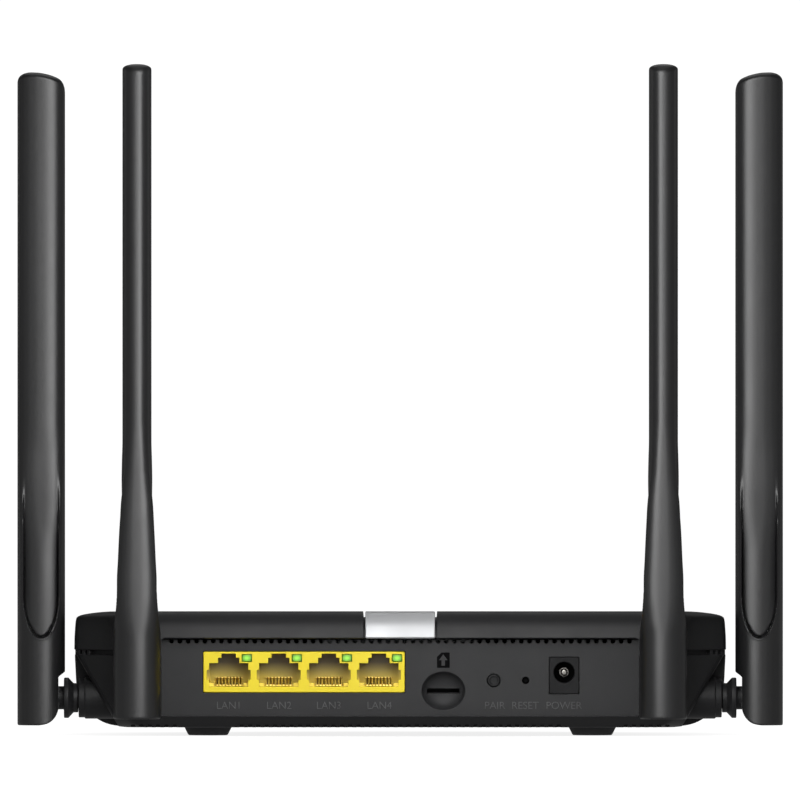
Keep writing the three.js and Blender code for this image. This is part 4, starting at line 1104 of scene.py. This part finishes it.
UNITS = [("side_left", -102.1, -49, 10.5, 0.0), ("side_right", 102.1, -49, 10.5, math.pi),
         ("rear_left", -73.3, -73.3, 12.5, math.pi / 2), ("rear_right", 73.3, -73.3, 12.5, math.pi / 2)]


def make_units():
    ant, post = make_antenna_mesh(), make_post_mesh()
    for name, x, y, z, turn in UNITS:
        m = Matrix.Translation((x, y, z)) @ Matrix.Rotation(turn, 4, "Z")
        for me, what, body, slot, mat in ((ant, "antenna", "_aerial", "antenna_plastic", M["antenna"]), (post, "swivel_post", "_post", "housing_plastic", M["housing"])):
            o = bpy.data.objects.new(f"{name}_{what}_visual", me.copy())
            scene.collection.objects.link(o)
            finish(o, f"{name}_{what}", name + body, slot, mat, angle=38, matrix=m)
        pin = lathe(f"{name}_hinge_pin_visual", fillet([(0, -5.2), (1.1, -5.2), (1.1, 5.2), (0, 5.2)], [0, 0.2, 0.2, 0], 3, closed=False), 32, "Y", (0, 0, 0))
        finish(pin, f"{name}_hinge_pin", name + "_aerial", "plated_metal", M["metal"], matrix=m)


make_bottom_shell()
make_top_cover()
make_strip()
make_panel()
make_marks()
make_port_block()
for k, px in enumerate(PORTS):
    make_contacts(k + 1, px)
    make_lens(k + 1, px)
make_jack()
make_buttons()
make_guide()
make_screws()
make_feet()
make_units()

# CAD nodes that stay get their finish on their own slots
KEPT = {
    # painted shade: the SIM slider takes the near-black steel finish so the card slot reads dark
    "main_circuit_board": "board", "sim_reader": "reader", "sim_reader_slider": "reader", "pair_switch": "module",
    "reset_switch": "module", "lan_transformer": "module", "modem_module": "board", "wifi_shield_left": "metal",
    "wifi_shield_right": "metal", "processor_heatsink": "sink", "power_capacitor_1": "module", "power_capacitor_2": "module",
    "side_left_coax": "cable", "side_right_coax": "cable", "rear_left_coax": "cable", "rear_right_coax": "cable",
    "side_left_radiator": "board", "side_right_radiator": "board", "rear_left_radiator": "board", "rear_right_radiator": "board",
}
for node, mat in KEPT.items():
    o = NODES[node]
    for s in o.material_slots:
        s.material = M[mat]
    if not o.material_slots:
        o.data.materials.append(M[mat])


# -------------------------------------------------------------------- studio
def emission_surface(name, color, strength, diffuse=0.0, one_sided=False):
    mat = bpy.data.materials.new(name)
    mat.use_nodes = True
    nt = mat.node_tree
    nt.nodes.clear()
    out = nt.nodes.new("ShaderNodeOutputMaterial")
    em = nt.nodes.new("ShaderNodeEmission")
    em.inputs["Color"].default_value = color
    em.inputs["Strength"].default_value = strength
    last = em.outputs[0]
    if diffuse:
        df = nt.nodes.new("ShaderNodeBsdfDiffuse")
        df.inputs["Color"].default_value = (diffuse, diffuse, diffuse, 1)
        sm = nt.nodes.new("ShaderNodeAddShader")
        nt.links.new(em.outputs[0], sm.inputs[0])
        nt.links.new(df.outputs[0], sm.inputs[1])
        last = sm.outputs[0]
    if one_sided:
        geo = nt.nodes.new("ShaderNodeNewGeometry")
        tr = nt.nodes.new("ShaderNodeBsdfTransparent")
        mx = nt.nodes.new("ShaderNodeMixShader")
        nt.links.new(geo.outputs["Backfacing"], mx.inputs[0])
        nt.links.new(last, mx.inputs[1])
        nt.links.new(tr.outputs[0], mx.inputs[2])
        last = mx.outputs[0]
    nt.links.new(last, out.inputs["Surface"])
    return mat


def floor_surface():
    """Pale floor with a painted contact shadow: a little darker where the housing stands over it."""
    mat = emission_surface("floor_pale", (1, 1, 1, 1), 1.0, 0.3, one_sided=True)
    nt = mat.node_tree
    em = next(n for n in nt.nodes if n.type == "EMISSION")
    co = nt.nodes.new("ShaderNodeTexCoord")
    sc = nt.nodes.new("ShaderNodeMapping")
    sc.inputs["Scale"].default_value = (1 / 0.105, 1 / 0.078, 0)
    ab = nt.nodes.new("ShaderNodeVectorMath")
    ab.operation = "LENGTH"
    # painted shadow: the floor's glow drops to 0.84 under the housing's footprint and rises to 1.0 outside it
    mr = nt.nodes.new("ShaderNodeMapRange")
    mr.interpolation_type = "SMOOTHSTEP"
    mr.inputs["From Min"].default_value = 0.55
    mr.inputs["From Max"].default_value = 1.1
    mr.inputs["To Min"].default_value = 0.84
    mr.inputs["To Max"].default_value = 1.0
    nt.links.new(co.outputs["Object"], sc.inputs["Vector"])
    nt.links.new(sc.outputs["Vector"], ab.inputs[0])
    nt.links.new(ab.outputs["Value"], mr.inputs["Value"])
    nt.links.new(mr.outputs["Result"], em.inputs["Strength"])
    return mat


N = 96
circle = lambda r, z: [(r * math.cos(2 * math.pi * i / N), r * math.sin(2 * math.pi * i / N), z) for i in range(N)]
floor = obj("floor", circle(38.0, -0.0002), [tuple(range(N))], clean=False)
floor.data.materials.append(floor_surface())
dome = obj("backdrop", [p for k in range(27) for p in circle(40 * math.cos(-1.56 + k * 0.12), 40 * math.sin(-1.56 + k * 0.12))],
           [(k * N + i, k * N + (i + 1) % N, (k + 1) * N + (i + 1) % N, (k + 1) * N + i) for k in range(26) for i in range(N)], clean=False)
dome.data.materials.append(emission_surface("backdrop_white", (1, 1, 1, 1), 1.05))
for o in (floor, dome):
    o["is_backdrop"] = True
for o in (floor, dome):
    o.visible_glossy = False
    o.visible_diffuse = False
    o.visible_transmission = False
dome.visible_shadow = False

world = bpy.data.worlds.new("studio")
scene.world = world
world.use_nodes = True
bg = world.node_tree.nodes["Background"]
bg.inputs["Color"].default_value = (1, 1, 1, 1)
bg.inputs["Strength"].default_value = 0.105


def area(name, loc, aim, sx, sy, radiance, spread=180):
    ld = bpy.data.lights.new(name, "AREA")
    ld.shape = "RECTANGLE"
    ld.size, ld.size_y = sx, sy
    ld.energy = radiance * math.pi * sx * sy
    ld.spread = math.radians(spread)
    lo = bpy.data.objects.new(name, ld)
    lo.location = loc
    lo.rotation_euler = (Vector(aim) - Vector(loc)).to_track_quat("-Z", "Y").to_euler()
    lo.visible_camera = False
    scene.collection.objects.link(lo)
    return lo


def place(azimuth, elevation, r=1.5):
    a, e = math.radians(azimuth), math.radians(elevation)
    return (r * math.cos(e) * math.sin(a), -r * math.cos(e) * math.cos(a), 0.08 + r * math.sin(e))


MIDDLE = (0, 0, 0.08)
area("key", place(0, 16), MIDDLE, 0.5, 0.3, 2.2)
area("strip_near", (0, -0.27, 0.17), (0, 0, 0.17), 0.12, 0.29, 4.2)
area("front_panel", (0, -0.5, 0.09), MIDDLE, 0.22, 0.3, 1.2)
area("front_high", (0, -0.42, 0.33), MIDDLE, 0.26, 0.2, 1.3)
for side in (-1, 1):
    area("side_near", place(side * 25, 8), MIDDLE, 0.35, 0.6, 0.9)
    area("side_mid", place(side * 50, 8), MIDDLE, 0.5, 0.6, 0.36)
    area("side_far", place(side * 80, 8), MIDDLE, 0.6, 0.6, 0.2)
    area("side_rim", place(side * 118, 6), MIDDLE, 0.4, 0.25, 0.6)
area("top", place(0, 85), MIDDLE, 1.0, 0.8, 0.4)
area("back", place(180, 50), MIDDLE, 1.0, 0.8, 0.6)
area("bounce", (0, 0, -0.0001), (0, 0, 1), 1.6, 1.6, 0.18)

as_list = lambda b: [[float(c) for c in v] if hasattr(v, "__len__") else float(v) for v in (b.values() if isinstance(b, dict) else b)]
{"cad": as_list(CAD_BOUNDS), "visual": as_list(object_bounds())}
